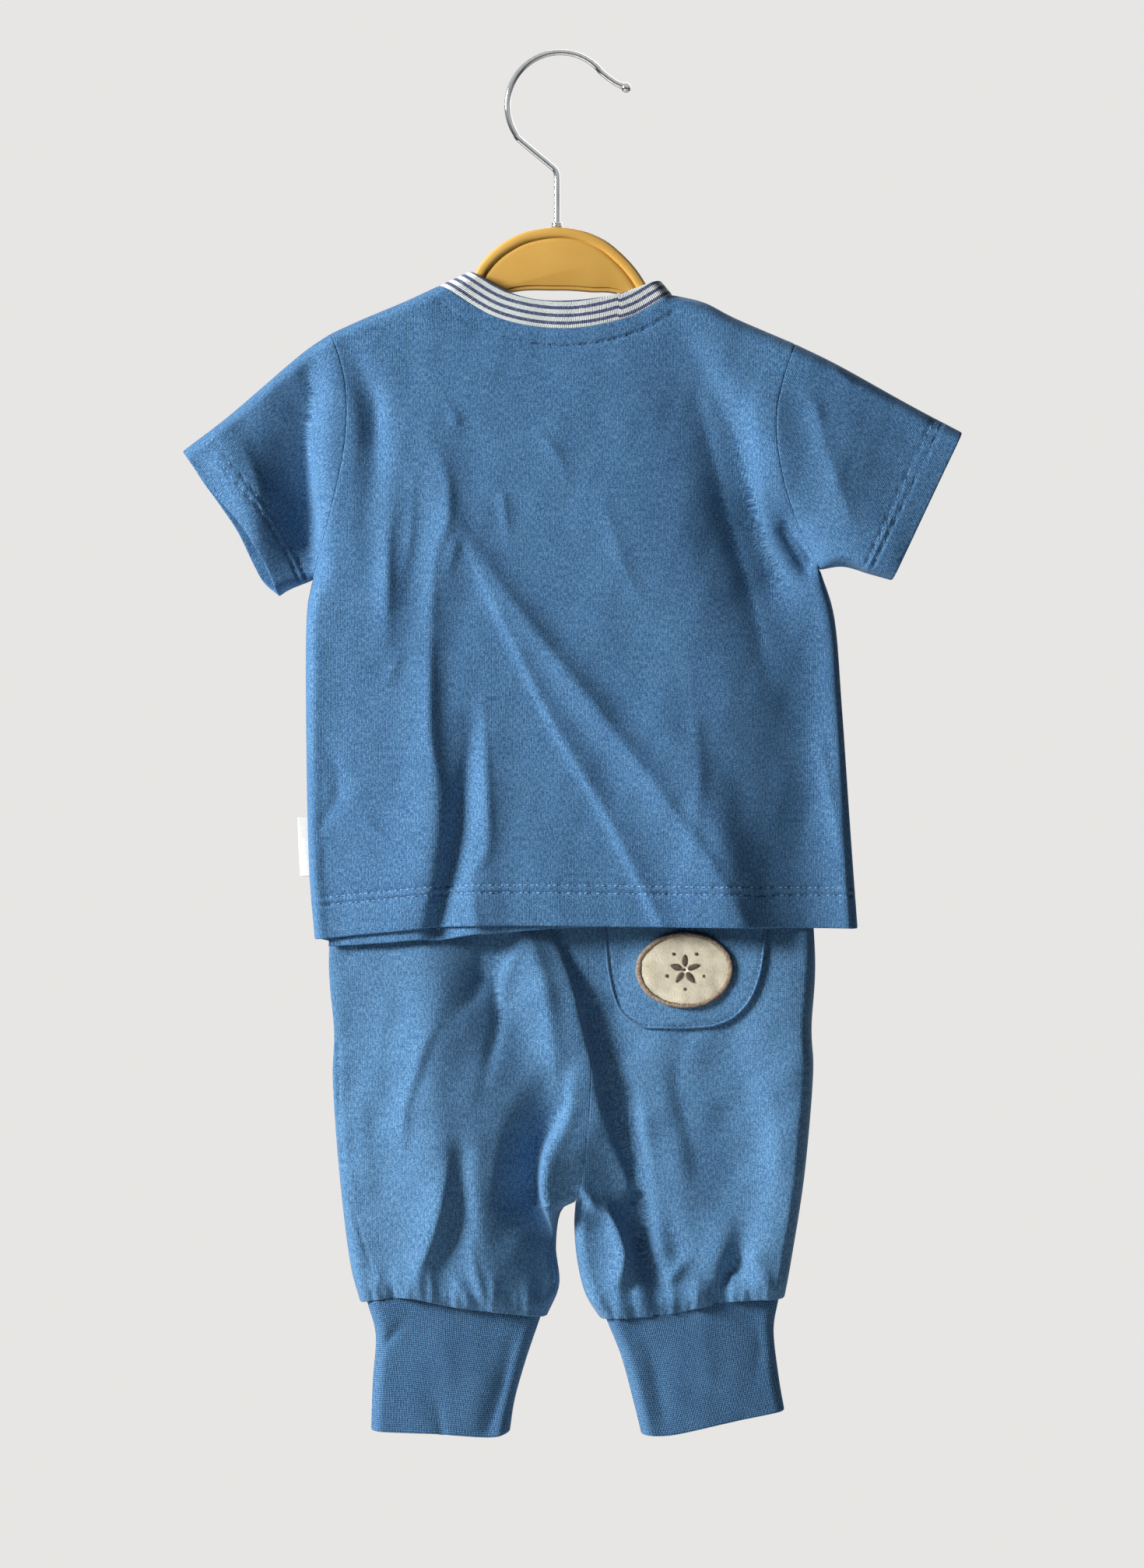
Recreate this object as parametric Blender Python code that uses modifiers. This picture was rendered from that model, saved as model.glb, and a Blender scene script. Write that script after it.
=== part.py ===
"""Baby set of a short-sleeved T-shirt and harem trousers on a child's hanger.

Units are metres with +Z up.  The tables are in millimetres.  The set hangs as
it does on a rail: the backs of the garments face -Y, +X is to the right when
looking at the backs, and the origin is the inner top of the hanger's hook.
Each garment is a front and a back layer of cloth that meet along its closed
edges, which are its shoulders, underarms, sides and inside legs.
"""
from collections import namedtuple
from math import cos, pi, radians, sin

import bmesh
import bpy
import numpy as np
from mathutils import Matrix, Vector

MM = 0.001

# Cloth thicknesses and seam gaps in millimetres
JERSEY = 1.2
RIB = 1.8
NECK_RIB = 1.5
SEAM = 0.3
SIDE_GAP = 0.2
EDGE_TURN = 10.0
EDGE_STEPS = (0.0, 0.12, 2.2, 7.0)
EDGE_TURN_SHARE = 0.9
EDGE_TURN_LEAST = 2.5

# Half depths of the two garments: height z, half depth, all in millimetres
SHIRT_DEPTH = ((-100, 10.0), (-118, 10.5), (-160, 11.5), (-240, 12.5), (-330, 13.5), (-425, 15.5))
LEAST_DEPTH = 2.4
TROUSER_DEPTH = (
    (-315, 3.2), (-345, 5.0), (-400, 7.0), (-420, 7.8), (-445, 11.0), (-480, 14.0),
    (-545, 16.0), (-578, 15.0), (-590, 12.5), (-600, 10.0),
)
SLEEVE_START = 100.0
SLEEVE_LENGTH = 75.0
SLEEVE_THINNING = 0.32

# Shirt outline: (x, z) in millimetres, the closed edges first
SHOULDER_LEFT = ((-108.2, -132.5), (-92.5, -125.4), (-72.9, -117.2), (-56.2, -109.5))
SHOULDER_RIGHT = ((54.4, -114.0), (69.6, -117.7), (84.4, -125.2), (112.6, -137.3))
BAND_FOLD_LEFT = ((-56.2, -109.5), (-42.2, -102.9))
BAND_FOLD_RIGHT = ((48.8, -107.3), (54.4, -114.0))
SLEEVE_TOP_LEFT = ((-108.2, -132.5), (-123.2, -143.0), (-155.6, -170.8), (-178.3, -188.3))
SLEEVE_TOP_RIGHT = ((112.6, -137.3), (133.6, -147.6), (166.9, -166.1), (192.0, -179.4))
UNDERARM_LEFT = ((-116.8, -249.6), (-127.3, -253.8), (-132.5, -257.1))
UNDERARM_RIGHT = ((124.6, -244.5), (135.8, -243.1), (148.0, -246.5), (158.7, -249.5))
SHIRT_SIDE_LEFT = ((-116.8, -249.6), (-119.6, -270.0), (-119.6, -330.0), (-118.4, -385.0), (-115.6, -420.0))
SHIRT_SIDE_RIGHT = ((124.6, -244.5), (131.5, -268.0), (135.0, -310.0), (138.8, -365.0), (142.4, -414.8))

# Shirt outline: the open edges and the armholes
ARMHOLE_LEFT = (
    (-108.2, -132.5), (-103.6, -143.6), (-100.2, -160.0), (-100.6, -183.0), (-106.0, -211.0),
    (-116.8, -249.6),
)
ARMHOLE_RIGHT = (
    (112.6, -137.3), (106.6, -154.7), (103.2, -174.6), (105.5, -197.2), (112.5, -220.0), (124.6, -244.5),
)
SLEEVE_HEM_LEFT = ((-178.3, -188.3), (-163.0, -210.0), (-146.2, -230.0), (-132.5, -257.1))
SLEEVE_HEM_RIGHT = ((192.0, -179.4), (176.0, -213.0), (158.7, -249.5))
BACK_NECK_SEAM = ((-56.2, -109.5), (-28.5, -125.8), (3.0, -131.0), (32.6, -125.8), (54.4, -114.0))
BACK_NECK_EDGE = ((-42.2, -102.9), (-21.1, -114.3), (-0.7, -117.7), (25.2, -115.1), (48.8, -107.3))
FRONT_NECK_SEAM = ((-56.2, -109.5), (-40.0, -144.0), (2.0, -165.0), (41.0, -146.0), (54.4, -114.0))
FRONT_NECK_EDGE = ((-42.2, -102.9), (-28.0, -132.0), (2.5, -150.0), (32.0, -134.0), (48.8, -107.3))
SHIRT_BACK_HEM = ((-115.6, -420.0), (-85.0, -416.8), (-39.0, -413.3), (60.0, -414.0), (142.4, -414.8))
SHIRT_FRONT_HEM = ((-115.6, -420.0), (-97.0, -422.8), (-50.0, -418.0), (23.0, -415.2), (142.4, -414.8))

# Trouser outline, and a leg's usual width, which spaces its columns
LEG_WIDTH = 110.0
WAIST = ((-92.0, -315.0), (6.0, -314.0), (104.0, -315.0))
TROUSER_SIDE_LEFT = (
    (-92.0, -315.0), (-103.0, -360.0), (-108.8, -425.0), (-106.4, -464.0), (-107.0, -487.0),
    (-104.0, -530.0), (-99.0, -572.0), (-94.0, -592.0),
)
TROUSER_SIDE_RIGHT = (
    (104.0, -315.0), (116.0, -360.0), (122.2, -425.0), (120.6, -462.0), (121.3, -485.0),
    (117.2, -532.0), (111.0, -572.0), (107.7, -590.1),
)
CENTRE_SEAM = ((6.0, -314.0), (12.0, -370.0), (14.8, -420.0), (13.6, -515.0), (8.5, -544.6))
INSEAM_LEFT = ((8.5, -544.6), (1.2, -549.5), (-1.1, -566.0), (0.5, -584.0), (-5.5, -599.0))
INSEAM_RIGHT = ((8.5, -544.6), (7.9, -556.0), (9.2, -572.0), (13.0, -588.0), (20.0, -599.8))
CUFF_SEAM_LEFT = ((-94.0, -592.0), (-72.0, -589.3), (-47.0, -594.0), (-5.5, -599.0))
CUFF_SEAM_RIGHT = ((20.0, -599.8), (51.4, -597.5), (80.0, -591.8), (107.7, -590.1))

# Waistband: its top edge and sides, which stay nearly flat inside the clips
BAND_HEIGHT = 25.0
WAISTBAND_DEPTH = 2.8
WAISTBAND_WALL = 1.6

# Cuffs: the side edges and the open end
CUFF_LEFT_OUTER = ((-90.6, -592.6), (-86.6, -608.0), (-88.0, -630.0), (-88.8, -652.7))
CUFF_LEFT_INNER = ((-8.0, -599.2), (-15.0, -619.0), (-20.4, -638.0), (-22.9, -653.8))
CUFF_LEFT_END = ((-88.8, -652.7), (-59.6, -653.8), (-33.0, -655.6), (-22.9, -653.8))
CUFF_RIGHT_INNER = ((22.6, -600.2), (30.0, -618.0), (36.1, -640.5), (39.6, -654.9))
CUFF_RIGHT_OUTER = ((105.0, -590.9), (102.6, -606.0), (105.0, -628.0), (107.7, -643.8))
CUFF_RIGHT_END = ((39.6, -654.9), (54.8, -654.5), (80.0, -649.2), (107.7, -643.8))
CUFF_DEPTH = 9.5
CUFF_WIDTH = 90.0

# Pocket on the right leg's back, a convex outline that runs up under the shirt
POCKET_TOP = -400.0
POCKET_OUTLINE = (
    (20.2, POCKET_TOP), (21.5, -418.0), (23.3, -436.0), (26.5, -449.0), (31.0, -456.5), (37.0, -460.8),
    (44.0, -462.5), (67.7, -462.1), (76.0, -460.6), (84.5, -456.5), (91.8, -448.5), (96.6, -436.0),
    (99.2, -418.0), (100.6, POCKET_TOP),
)
BADGE_CENTRE = (60.3, -434.5)
BADGE_RADII = (22.5, 17.5)
BADGE_WALL = 1.2
BADGE_SIDES = 28

# Side label, sewn into the left side seam
LABEL_TOP = -362.2
LABEL_HEIGHT = 28.0
LABEL_REACH = 4.4
LABEL_WALL = 0.8
LABEL_CURL = (0.36, 1.26)

# Gathers where each leg meets its cuff
GATHER_COUNT = 7
GATHER_RISE = 1.3
GATHER_LENGTH = 13.0

# Hook: a chrome wire with a round tip
WIRE = 2.8
HOOK_CENTRE = (1.1, -23.8)
HOOK_RADIUS = 25.2
HOOK_SLOPE_ANGLE = 222.0
HOOK_END_ANGLE = 38.0
HOOK_STEM_X = -0.5
HOOK_STEM_TOP = -57.5
HOOK_STEM_FOOT = -95.0
HOOK_BEND = ((-1.0, -55.3), (-2.5, -53.3))
HOOK_LIP = ((24.2, -10.9), (27.6, -13.2))
HOOK_TIP = (32.4, -15.4)
HOOK_BALL = 4.6
COLLAR_WIDTH = 5.0
COLLAR_HEIGHT = 2.4
COLLAR_BEVEL = 0.5

# Hanger: a flat moulding with a raised rim
DOME = (
    (-40.6, -106.2), (-37.4, -100.2), (-31.1, -93.2), (-22.2, -87.2), (-13.3, -83.8), (-0.7, -82.1),
    (11.8, -83.8), (22.6, -88.4), (31.4, -95.6), (37.6, -102.6), (42.4, -110.0),
)
ARM_LEFT_X = (-97.0, -88.2, -79.5, -70.7, -62.0, -53.2, -44.5)
ARM_RIGHT_X = (50.0, 53.0, 56.5, 63.0, 75.0, 88.0, 101.0)
ARM_TIP = ((2.6, 4.5), (2.6, 9.0))
ARM_SLANT = 1.5
ARM_HEIGHT = 14.5
ARM_CLEARANCE = 2.9
BAND_CLEARANCE = 3.4
DOME_FOOT = ((31.0, -114.5), (15.0, -112.3), (-1.0, -111.5), (-24.0, -113.0))
HANGER_HALF = 4.6
RIM_CHAMFER = 1.1
RIM_WIDTH = 3.6
WEB_STEP = 0.5
BORE_CUTTER = 20.0
WEB_RECESS = 1.6

# Trouser bar and clips, hidden in the shirt
BAR_WIRE = 3.0
BAR_X = (-55.0, 62.0)
BAR_HEIGHT = -281.0
BAR_BEND = 8.0
CLIP_X = (-38.0, 45.0)
CLIP_SIZE = (20.0, 10.2, 30.0)
CLIP_SLOT = (6.2, 18.0)
CLIP_ABOVE_BAR = 2.6
CUT_PAST = 1.2

Fold = namedtuple("Fold", "start middle end heights widths")

# Folds: three places (x, z) on the crest, the height at each, and the width
# on the crest's -X and +X sides.  A trough has negative heights.
SHIRT_BACK_FOLDS = (
    Fold((-46, -225), (2, -300), (66, -416), (1.0, 3.8, 4.5), (9.0, 12.0)),
    Fold((-41, -318), (-47, -355), (-58, -416), (-1.0, -3.4, -3.0), (6.0, 6.0)),
    Fold((-33, -304), (-34, -350), (-38, -416), (0.6, 2.6, 2.0), (6.0, 7.0)),
    Fold((-60, -272), (-61, -318), (-53, -358), (0.8, 2.4, 0.4), (7.0, 6.0)),
    Fold((-57, -180), (-53, -222), (-60, -288), (0.6, 2.6, 0.6), (7.0, 8.0)),
    Fold((-78, -212), (-80, -246), (-80, -284), (0.4, 2.2, 0.4), (7.0, 6.0)),
    Fold((-97, -142), (-84, -170), (-85, -206), (-0.8, -2.2, -0.6), (8.0, 9.0)),
    Fold((58, -136), (80, -205), (94, -262), (-1.0, -3.0, -3.2), (13.0, 11.0)),
    Fold((94, -262), (98, -320), (108, -412), (-3.2, -3.0, -2.4), (13.0, 12.0)),
    Fold((92, -168), (98, -205), (104, -238), (1.0, 2.6, 1.0), (8.0, 7.0)),
    Fold((125, -322), (130, -350), (136, -392), (0.6, 2.0, 1.0), (8.0, 7.0)),
    Fold((-107, -322), (-104, -346), (-112, -372), (-0.6, -2.2, -0.8), (7.0, 7.0)),
)
SHIRT_FRONT_FOLDS = (
    Fold((38, -232), (20, -300), (-30, -414), (1.0, 3.4, 3.6), (11.0, 9.0)),
    Fold((70, -300), (64, -350), (72, -414), (-0.6, -2.8, -2.6), (8.0, 8.0)),
    Fold((-62, -190), (-70, -260), (-84, -372), (-0.8, -2.8, -1.2), (12.0, 11.0)),
    Fold((96, -180), (92, -222), (98, -270), (0.6, 2.4, 0.6), (9.0, 8.0)),
)
TROUSER_BACK_FOLDS = (
    Fold((-50, -430), (-67, -484), (-73, -528), (0.8, 3.2, 1.0), (6.0, 8.0)),
    Fold((-33, -412), (-37, -441), (-49, -462), (-1.6, -3.0, -0.8), (6.0, 6.0)),
    Fold((-30, -432), (-29, -460), (-38, -502), (-1.0, -3.2, -0.8), (6.0, 6.0)),
    Fold((-15, -405), (-3, -466), (0, -512), (2.0, 5.4, 4.0), (9.0, 7.0)),
    Fold((-7, -486), (-16, -530), (-5, -586), (-1.6, -6.0, -2.4), (6.5, 6.0)),
    Fold((-50, -518), (-57, -553), (-68, -590), (0.8, 3.6, 1.6), (7.0, 7.0)),
    Fold((-39, -556), (-36, -573), (-31, -595), (0.6, 2.6, 1.6), (6.0, 6.0)),
    Fold((15, -405), (22, -479), (35, -531), (-1.6, -7.0, -7.0), (7.0, 7.5)),
    Fold((35, -531), (37, -560), (50, -592), (-7.0, -6.0, -2.0), (7.0, 7.0)),
    Fold((17, -542), (27, -560), (24, -586), (1.0, 4.4, 1.6), (5.0, 5.0)),
    Fold((61, -468), (55, -492), (66, -530), (-0.6, -3.0, -0.8), (9.0, 9.0)),
    Fold((40, -478), (44, -510), (48, -546), (0.8, 3.6, 1.0), (8.0, 8.0)),
    Fold((92, -462), (95, -500), (90, -545), (0.8, 3.0, 0.8), (11.0, 11.0)),
    Fold((86, -562), (83, -575), (75, -592), (-0.8, -3.0, -1.0), (7.0, 7.0)),
)
TROUSER_FRONT_FOLDS = (
    Fold((-20, -418), (-34, -480), (-50, -540), (1.0, 4.2, 1.0), (10.0, 10.0)),
    Fold((2, -430), (-6, -490), (-20, -560), (-1.0, -5.0, -2.0), (9.0, 9.0)),
    Fold((34, -430), (40, -500), (58, -580), (-1.0, -4.6, -1.6), (9.0, 9.0)),
    Fold((72, -440), (80, -500), (84, -566), (1.0, 3.8, 1.0), (11.0, 11.0)),
    Fold((-74, -470), (-78, -520), (-70, -580), (1.0, 3.4, 1.2), (10.0, 9.0)),
)


def smooth_path(points, count=120):
    """A smooth curve through the given points, sampled evenly by length."""
    given = np.array(points, float)
    if len(given) == 2:
        return given[0] + np.linspace(0, 1, count)[:, None] * (given[1] - given[0])
    framed = np.vstack([2 * given[0] - given[1], given, 2 * given[-1] - given[-2]])
    t = np.linspace(0, 1, 24, endpoint=False)[:, None]
    runs = []
    for before, start, end, after in zip(framed, framed[1:], framed[2:], framed[3:]):
        runs.append(0.5 * (2 * start + (end - before) * t
                           + (2 * before - 5 * start + 4 * end - after) * t ** 2
                           + (3 * start - before - 3 * end + after) * t ** 3))
    dense = np.vstack(runs + [given[-1:]])
    return along(dense, np.linspace(0, 1, count))


def along(path, shares):
    """Places at the given shares of a path's length."""
    steps = np.linalg.norm(np.diff(path, axis=0), axis=1)
    length = np.concatenate([[0], np.cumsum(steps)]) / steps.sum()
    return np.stack([np.interp(shares, length, path[:, axis]) for axis in (0, 1)], axis=-1)


def path_length(path):
    return np.linalg.norm(np.diff(path, axis=0), axis=1).sum()


def joined(*pieces):
    """An edge made of paths, each ending at its own share: (path, share)."""
    def edge(shares):
        shares = np.asarray(shares, float)
        places = np.zeros(shares.shape + (2,))
        start = 0.0
        for path, end in pieces:
            inside = (shares >= start - 1e-9) & (shares <= end + 1e-9)
            places[inside] = along(path, (shares[inside] - start) / (end - start))
            start = end
        return places
    return edge


def plain_edge(points):
    return joined((smooth_path(points), 1.0))


def coons(left, right, top, bottom, columns, rows):
    """Places over a patch with four edges: an array of rows by columns by (x, z)."""
    u = np.asarray(columns)[None, :, None]
    v = np.asarray(rows)[:, None, None]
    corners = ((1 - u) * (1 - v) * left([0.0])[0] + u * (1 - v) * right([0.0])[0]
               + (1 - u) * v * left([1.0])[0] + u * v * right([1.0])[0])
    sides = (1 - u) * left(rows)[:, None, :] + u * right(rows)[:, None, :]
    ends = (1 - v) * top(columns)[None, :, :] + v * bottom(columns)[None, :, :]
    return sides + ends - corners


def distance_to(places, path):
    """Distance of each place to a path, with the share of it and the side."""
    start = path[:-1]
    step = path[1:] - start
    offset = places[..., None, :] - start
    share = np.clip((offset * step).sum(-1) / (step ** 2).sum(-1), 0, 1)
    away = offset - share[..., None] * step
    gap = np.linalg.norm(away, axis=-1)
    nearest = gap.argmin(-1)[..., None]
    cross = step[:, 0] * away[..., 1] - step[:, 1] * away[..., 0]
    side = np.take_along_axis(np.sign(cross), nearest, -1)[..., 0]
    reach = (nearest[..., 0] + np.take_along_axis(share, nearest, -1)[..., 0]) / len(step)
    return np.take_along_axis(gap, nearest, -1)[..., 0], reach, side


def edge_rise(places, closed_edges, depth):
    """0 on a closed edge, rising in a quarter ellipse to 1 where the cloth lies flat."""
    gap = np.min([distance_to(places, edge)[0] for edge in closed_edges], axis=0)
    turn = np.clip(EDGE_TURN_SHARE * depth, EDGE_TURN_LEAST, EDGE_TURN)
    return np.sqrt(1 - (1 - np.clip(gap / turn, 0, 1)) ** 2)


def fold_heights(places, folds):
    """The height that all the folds together add at each place."""
    total = np.zeros(places.shape[:-1])
    share = np.linspace(0, 1, 13)[:, None]
    for fold in folds:
        start, middle, end = (np.array(place, float) for place in fold[:3])
        control = 2 * middle - (start + end) / 2
        crest = (1 - share) ** 2 * start + 2 * share * (1 - share) * control + share ** 2 * end
        gap, reach, side = distance_to(places, crest)
        height = np.interp(reach, (0, 0.5, 1), fold.heights)
        width = np.where(side < 0, *fold.widths)
        total += height * np.exp(-(gap / width) ** 2)
    return total


def by_height(table, places):
    heights, depths = np.array(sorted(table)).T
    return np.interp(places[..., 1], heights, depths)


SHIRT_CLOSED = [smooth_path(points) for points in (
    SHOULDER_LEFT, SHOULDER_RIGHT, BAND_FOLD_LEFT, BAND_FOLD_RIGHT, SLEEVE_TOP_LEFT, SLEEVE_TOP_RIGHT,
    UNDERARM_LEFT, UNDERARM_RIGHT, SHIRT_SIDE_LEFT, SHIRT_SIDE_RIGHT,
)]
TROUSER_CLOSED = [smooth_path(points) for points in (
    TROUSER_SIDE_LEFT, TROUSER_SIDE_RIGHT, INSEAM_LEFT, INSEAM_RIGHT,
)]
CUFF_CLOSED = [smooth_path(points) for points in (
    CUFF_LEFT_OUTER, CUFF_LEFT_INNER, CUFF_RIGHT_INNER, CUFF_RIGHT_OUTER,
)]


def shirt_depth(places, folds):
    """How far the shirt's cloth stands from its middle plane."""
    out = np.clip((np.abs(places[..., 0] - 4) - SLEEVE_START) / SLEEVE_LENGTH, 0, 1)
    depth = by_height(SHIRT_DEPTH, places) * (1 - SLEEVE_THINNING * out)
    return edge_rise(places, SHIRT_CLOSED, depth) * (depth + fold_heights(places, folds))


def gathers(places):
    """Small waves that run up from each cuff seam and die out."""
    total = np.zeros(places.shape[:-1])
    for seam in (CUFF_SEAM_LEFT, CUFF_SEAM_RIGHT):
        gap, reach, _ = distance_to(places, smooth_path(seam))
        wave = np.cos(2 * pi * GATHER_COUNT * reach + 2 * np.sin(5 * reach))
        total += GATHER_RISE * wave * np.exp(-(gap / GATHER_LENGTH) ** 2)
    return total


def trouser_depth(places, folds):
    """How far the trousers' cloth stands from its middle plane."""
    depth = by_height(TROUSER_DEPTH, places)
    shaped = depth + fold_heights(places, folds) + gathers(places)
    return edge_rise(places, TROUSER_CLOSED, depth) * np.maximum(shaped, LEAST_DEPTH)


def cuff_depth(places):
    return edge_rise(places, CUFF_CLOSED, CUFF_DEPTH) * CUFF_DEPTH


def layer(places, depth, side, gap=0.0):
    """Points of one layer of cloth: side is -1 for the back and 1 for the front."""
    return np.stack([places[..., 0], side * (gap + depth), places[..., 1]], axis=-1)


def ring(back, front):
    """Join a back and a front layer around their two closed edges."""
    return np.concatenate([back, front[:, -2::-1]], axis=1)


def directions(points, axis, wrap):
    """The direction of the grid lines along one axis at each point."""
    step = np.diff(points, axis=axis)
    step /= np.linalg.norm(step, axis=-1, keepdims=True)
    first, last = np.take(step, [0], axis), np.take(step, [-1], axis)
    if wrap:
        first, last = last, first
    return np.concatenate([first, step], axis) + np.concatenate([step, last], axis)


def inner_points(points, thickness, wrap):
    """The points moved inwards, square to the cloth, by its thickness."""
    normal = np.cross(directions(points, 1, wrap), directions(points, 0, False))
    normal /= np.linalg.norm(normal, axis=-1, keepdims=True)
    if (normal[..., 1] * points[..., 1]).sum() > 0:
        normal = -normal
    return points + thickness * normal


def open_sheet(points):
    """A bmesh grid at the given points, each vertex marked with its number."""
    rows, columns = points.shape[:2]
    bm = bmesh.new()
    bmesh.ops.create_grid(bm, x_segments=columns - 1, y_segments=rows - 1, size=0.5)
    number = bm.verts.layers.int.new("number")
    flat = points.reshape(-1, 3)
    for vert in bm.verts:
        column = round((vert.co.x + 0.5) * (columns - 1))
        row = round((vert.co.y + 0.5) * (rows - 1))
        vert[number] = row * columns + column
    for vert in bm.verts:
        vert.co = flat[vert[number]] * MM
    bmesh.ops.remove_doubles(bm, verts=bm.verts[:], dist=1e-7)
    bmesh.ops.triangulate(bm, faces=bm.faces[:])
    return bm


def wall_mesh(name, points, thickness, wrap=False):
    """A closed wall of cloth whose outer side runs through the points."""
    bm = open_sheet(points)
    number = bm.verts.layers.int["number"]
    inner = inner_points(points, thickness, wrap).reshape(-1, 3)
    made = bmesh.ops.extrude_face_region(bm, geom=bm.faces[:], use_keep_orig=True)
    for item in made["geom"]:
        if isinstance(item, bmesh.types.BMVert):
            item.co = inner[item[number]] * MM
    return finished_mesh(name, bm)


def finished_mesh(name, bm):
    bmesh.ops.recalc_face_normals(bm, faces=bm.faces[:])
    mesh = bpy.data.meshes.new(name)
    bm.to_mesh(mesh)
    bm.free()
    mesh.shade_smooth()
    mesh.set_sharp_from_angle(angle=radians(50))
    return mesh


def make_material(name, colour, roughness, metallic=0.0):
    material = bpy.data.materials.new(name)
    material.use_nodes = True
    shader = material.node_tree.nodes["Principled BSDF"]
    shader.inputs["Base Color"].default_value = (*colour, 1.0)
    shader.inputs["Roughness"].default_value = roughness
    shader.inputs["Metallic"].default_value = metallic
    return material


class Model:
    """The collection, the parent empty and the materials of the set."""

    def __init__(self):
        for item in list(bpy.data.objects):
            bpy.data.objects.remove(item, do_unlink=True)
        self.parts = bpy.data.collections.new("baby_set_on_hanger")
        self.cutters = bpy.data.collections.new("cutters")
        for group in (self.parts, self.cutters):
            bpy.context.scene.collection.children.link(group)
        self.root = bpy.data.objects.new("set_origin", None)
        self.parts.objects.link(self.root)
        self.materials = {
            "jersey": make_material("blue_jersey", (0.10, 0.17, 0.27), 0.9),
            "fleece": make_material("blue_fleece", (0.09, 0.16, 0.25), 0.95),
            "rib": make_material("blue_rib", (0.09, 0.16, 0.26), 0.9),
            "striped": make_material("striped_rib", (0.55, 0.60, 0.66), 0.9),
            "elastic": make_material("waist_elastic", (0.08, 0.13, 0.21), 0.9),
            "felt": make_material("cream_felt", (0.72, 0.66, 0.55), 0.95),
            "label": make_material("white_label", (0.85, 0.85, 0.83), 0.7),
            "plastic": make_material("mustard_plastic", (0.72, 0.41, 0.09), 0.4),
            "chrome": make_material("chrome_wire", (0.75, 0.76, 0.78), 0.15, 1.0),
        }

    def add(self, name, mesh, material, location=(0, 0, 0), rotation=(0, 0, 0)):
        item = bpy.data.objects.new(name, mesh)
        mesh.materials.append(self.materials[material])
        self.parts.objects.link(item)
        item.parent = self.root
        item.location = Vector(location) * MM
        item.rotation_euler = rotation
        return item

    def add_wire(self, name, route, width, resolution):
        """A round wire with filled ends along (x, z) places."""
        curve = bpy.data.curves.new(name, "CURVE")
        curve.dimensions = "3D"
        curve.bevel_depth = width / 2 * MM
        curve.bevel_resolution = resolution
        curve.use_fill_caps = True
        spline = curve.splines.new("POLY")
        spline.points.add(len(route) - 1)
        for point, (x, z) in zip(spline.points, route):
            point.co = (x * MM, 0, z * MM, 1)
        wire = bpy.data.objects.new(name, curve)
        self.parts.objects.link(wire)
        return wire

    def wire_mesh(self, wire):
        """Turn a wire into a mesh with its end caps welded on."""
        depsgraph = bpy.context.evaluated_depsgraph_get()
        mesh = bpy.data.meshes.new_from_object(wire.evaluated_get(depsgraph))
        bm = bmesh.new()
        bm.from_mesh(mesh)
        bmesh.ops.remove_doubles(bm, verts=bm.verts[:], dist=1e-6)
        bpy.data.objects.remove(wire, do_unlink=True)
        bpy.data.meshes.remove(mesh)
        return bm

    def add_cutter(self, name, bm, location):
        cutter = bpy.data.objects.new(name, finished_mesh(name, bm))
        self.cutters.objects.link(cutter)
        cutter.parent = self.root
        cutter.location = Vector(location) * MM
        cutter.hide_render = True
        cutter.display_type = "WIRE"
        return cutter


def cut(item, cutter, operation="DIFFERENCE"):
    boolean = item.modifiers.new(cutter.name, "BOOLEAN")
    boolean.operation = operation
    boolean.object = cutter


# Columns and rows of the garments, as shares of their widths and heights

NECK_START, NECK_END = 0.25, 0.75
ARMPIT = 0.4


def steps_in(start, length, ends=(True, True), middle=5, span=1.0):
    """Shares across a patch, close together where its ends turn over."""
    near = np.array(EDGE_STEPS) / length * span
    first = near if ends[0] else np.array([0.0])
    last = (span - near)[::-1] if ends[1] else np.array([span])
    between = np.linspace(first[-1], last[0], middle + 2)[1:-1]
    return start + np.concatenate([first, between, last])


def merged(*lists):
    values = np.sort(np.concatenate(lists))
    return values[np.concatenate([[True], np.diff(values) > 1e-6])]


def body_columns(neck_seam):
    shoulder = path_length(smooth_path(SHOULDER_LEFT))
    neck = path_length(smooth_path(neck_seam))
    return merged(
        steps_in(0.0, shoulder, (True, False), 2, NECK_START),
        steps_in(NECK_START, neck, (True, True), 5, NECK_END - NECK_START),
        1 - steps_in(0.0, shoulder, (True, False), 2, NECK_START),
    )


def body_rows(below):
    armhole = path_length(smooth_path(ARMHOLE_LEFT))
    return merged(
        steps_in(0.0, armhole, (True, True), 5, ARMPIT),
        np.linspace(ARMPIT, 1.0, below + 1),
    )


def shirt_body(neck_seam, hem, folds, side, below):
    top = joined(
        (smooth_path(SHOULDER_LEFT), NECK_START),
        (smooth_path(neck_seam), NECK_END),
        (smooth_path(SHOULDER_RIGHT), 1.0),
    )
    left = joined((smooth_path(ARMHOLE_LEFT), ARMPIT), (smooth_path(SHIRT_SIDE_LEFT), 1.0))
    right = joined((smooth_path(ARMHOLE_RIGHT), ARMPIT), (smooth_path(SHIRT_SIDE_RIGHT), 1.0))
    places = coons(left, right, top, plain_edge(hem), body_columns(neck_seam), body_rows(below))
    return layer(places, shirt_depth(places, folds), side, SIDE_GAP)


def sleeve(armhole, top, hem, underarm):
    """A sleeve as rings from the armhole, half a millimetre clear of it, to the hem."""
    start = 1.6 * SEAM / path_length(smooth_path(top))
    shares = np.linspace(0, 1, 7)
    shares[0] = start
    around = body_rows(1)
    around = around[around <= ARMPIT + 1e-9] / ARMPIT
    places = coons(
        plain_edge(top), plain_edge(underarm), plain_edge(armhole), plain_edge(hem), around, shares)
    back = layer(places, shirt_depth(places, SHIRT_BACK_FOLDS), -1)
    front = layer(places, shirt_depth(places, SHIRT_FRONT_FOLDS), 1)
    return ring(back, front)


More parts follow.
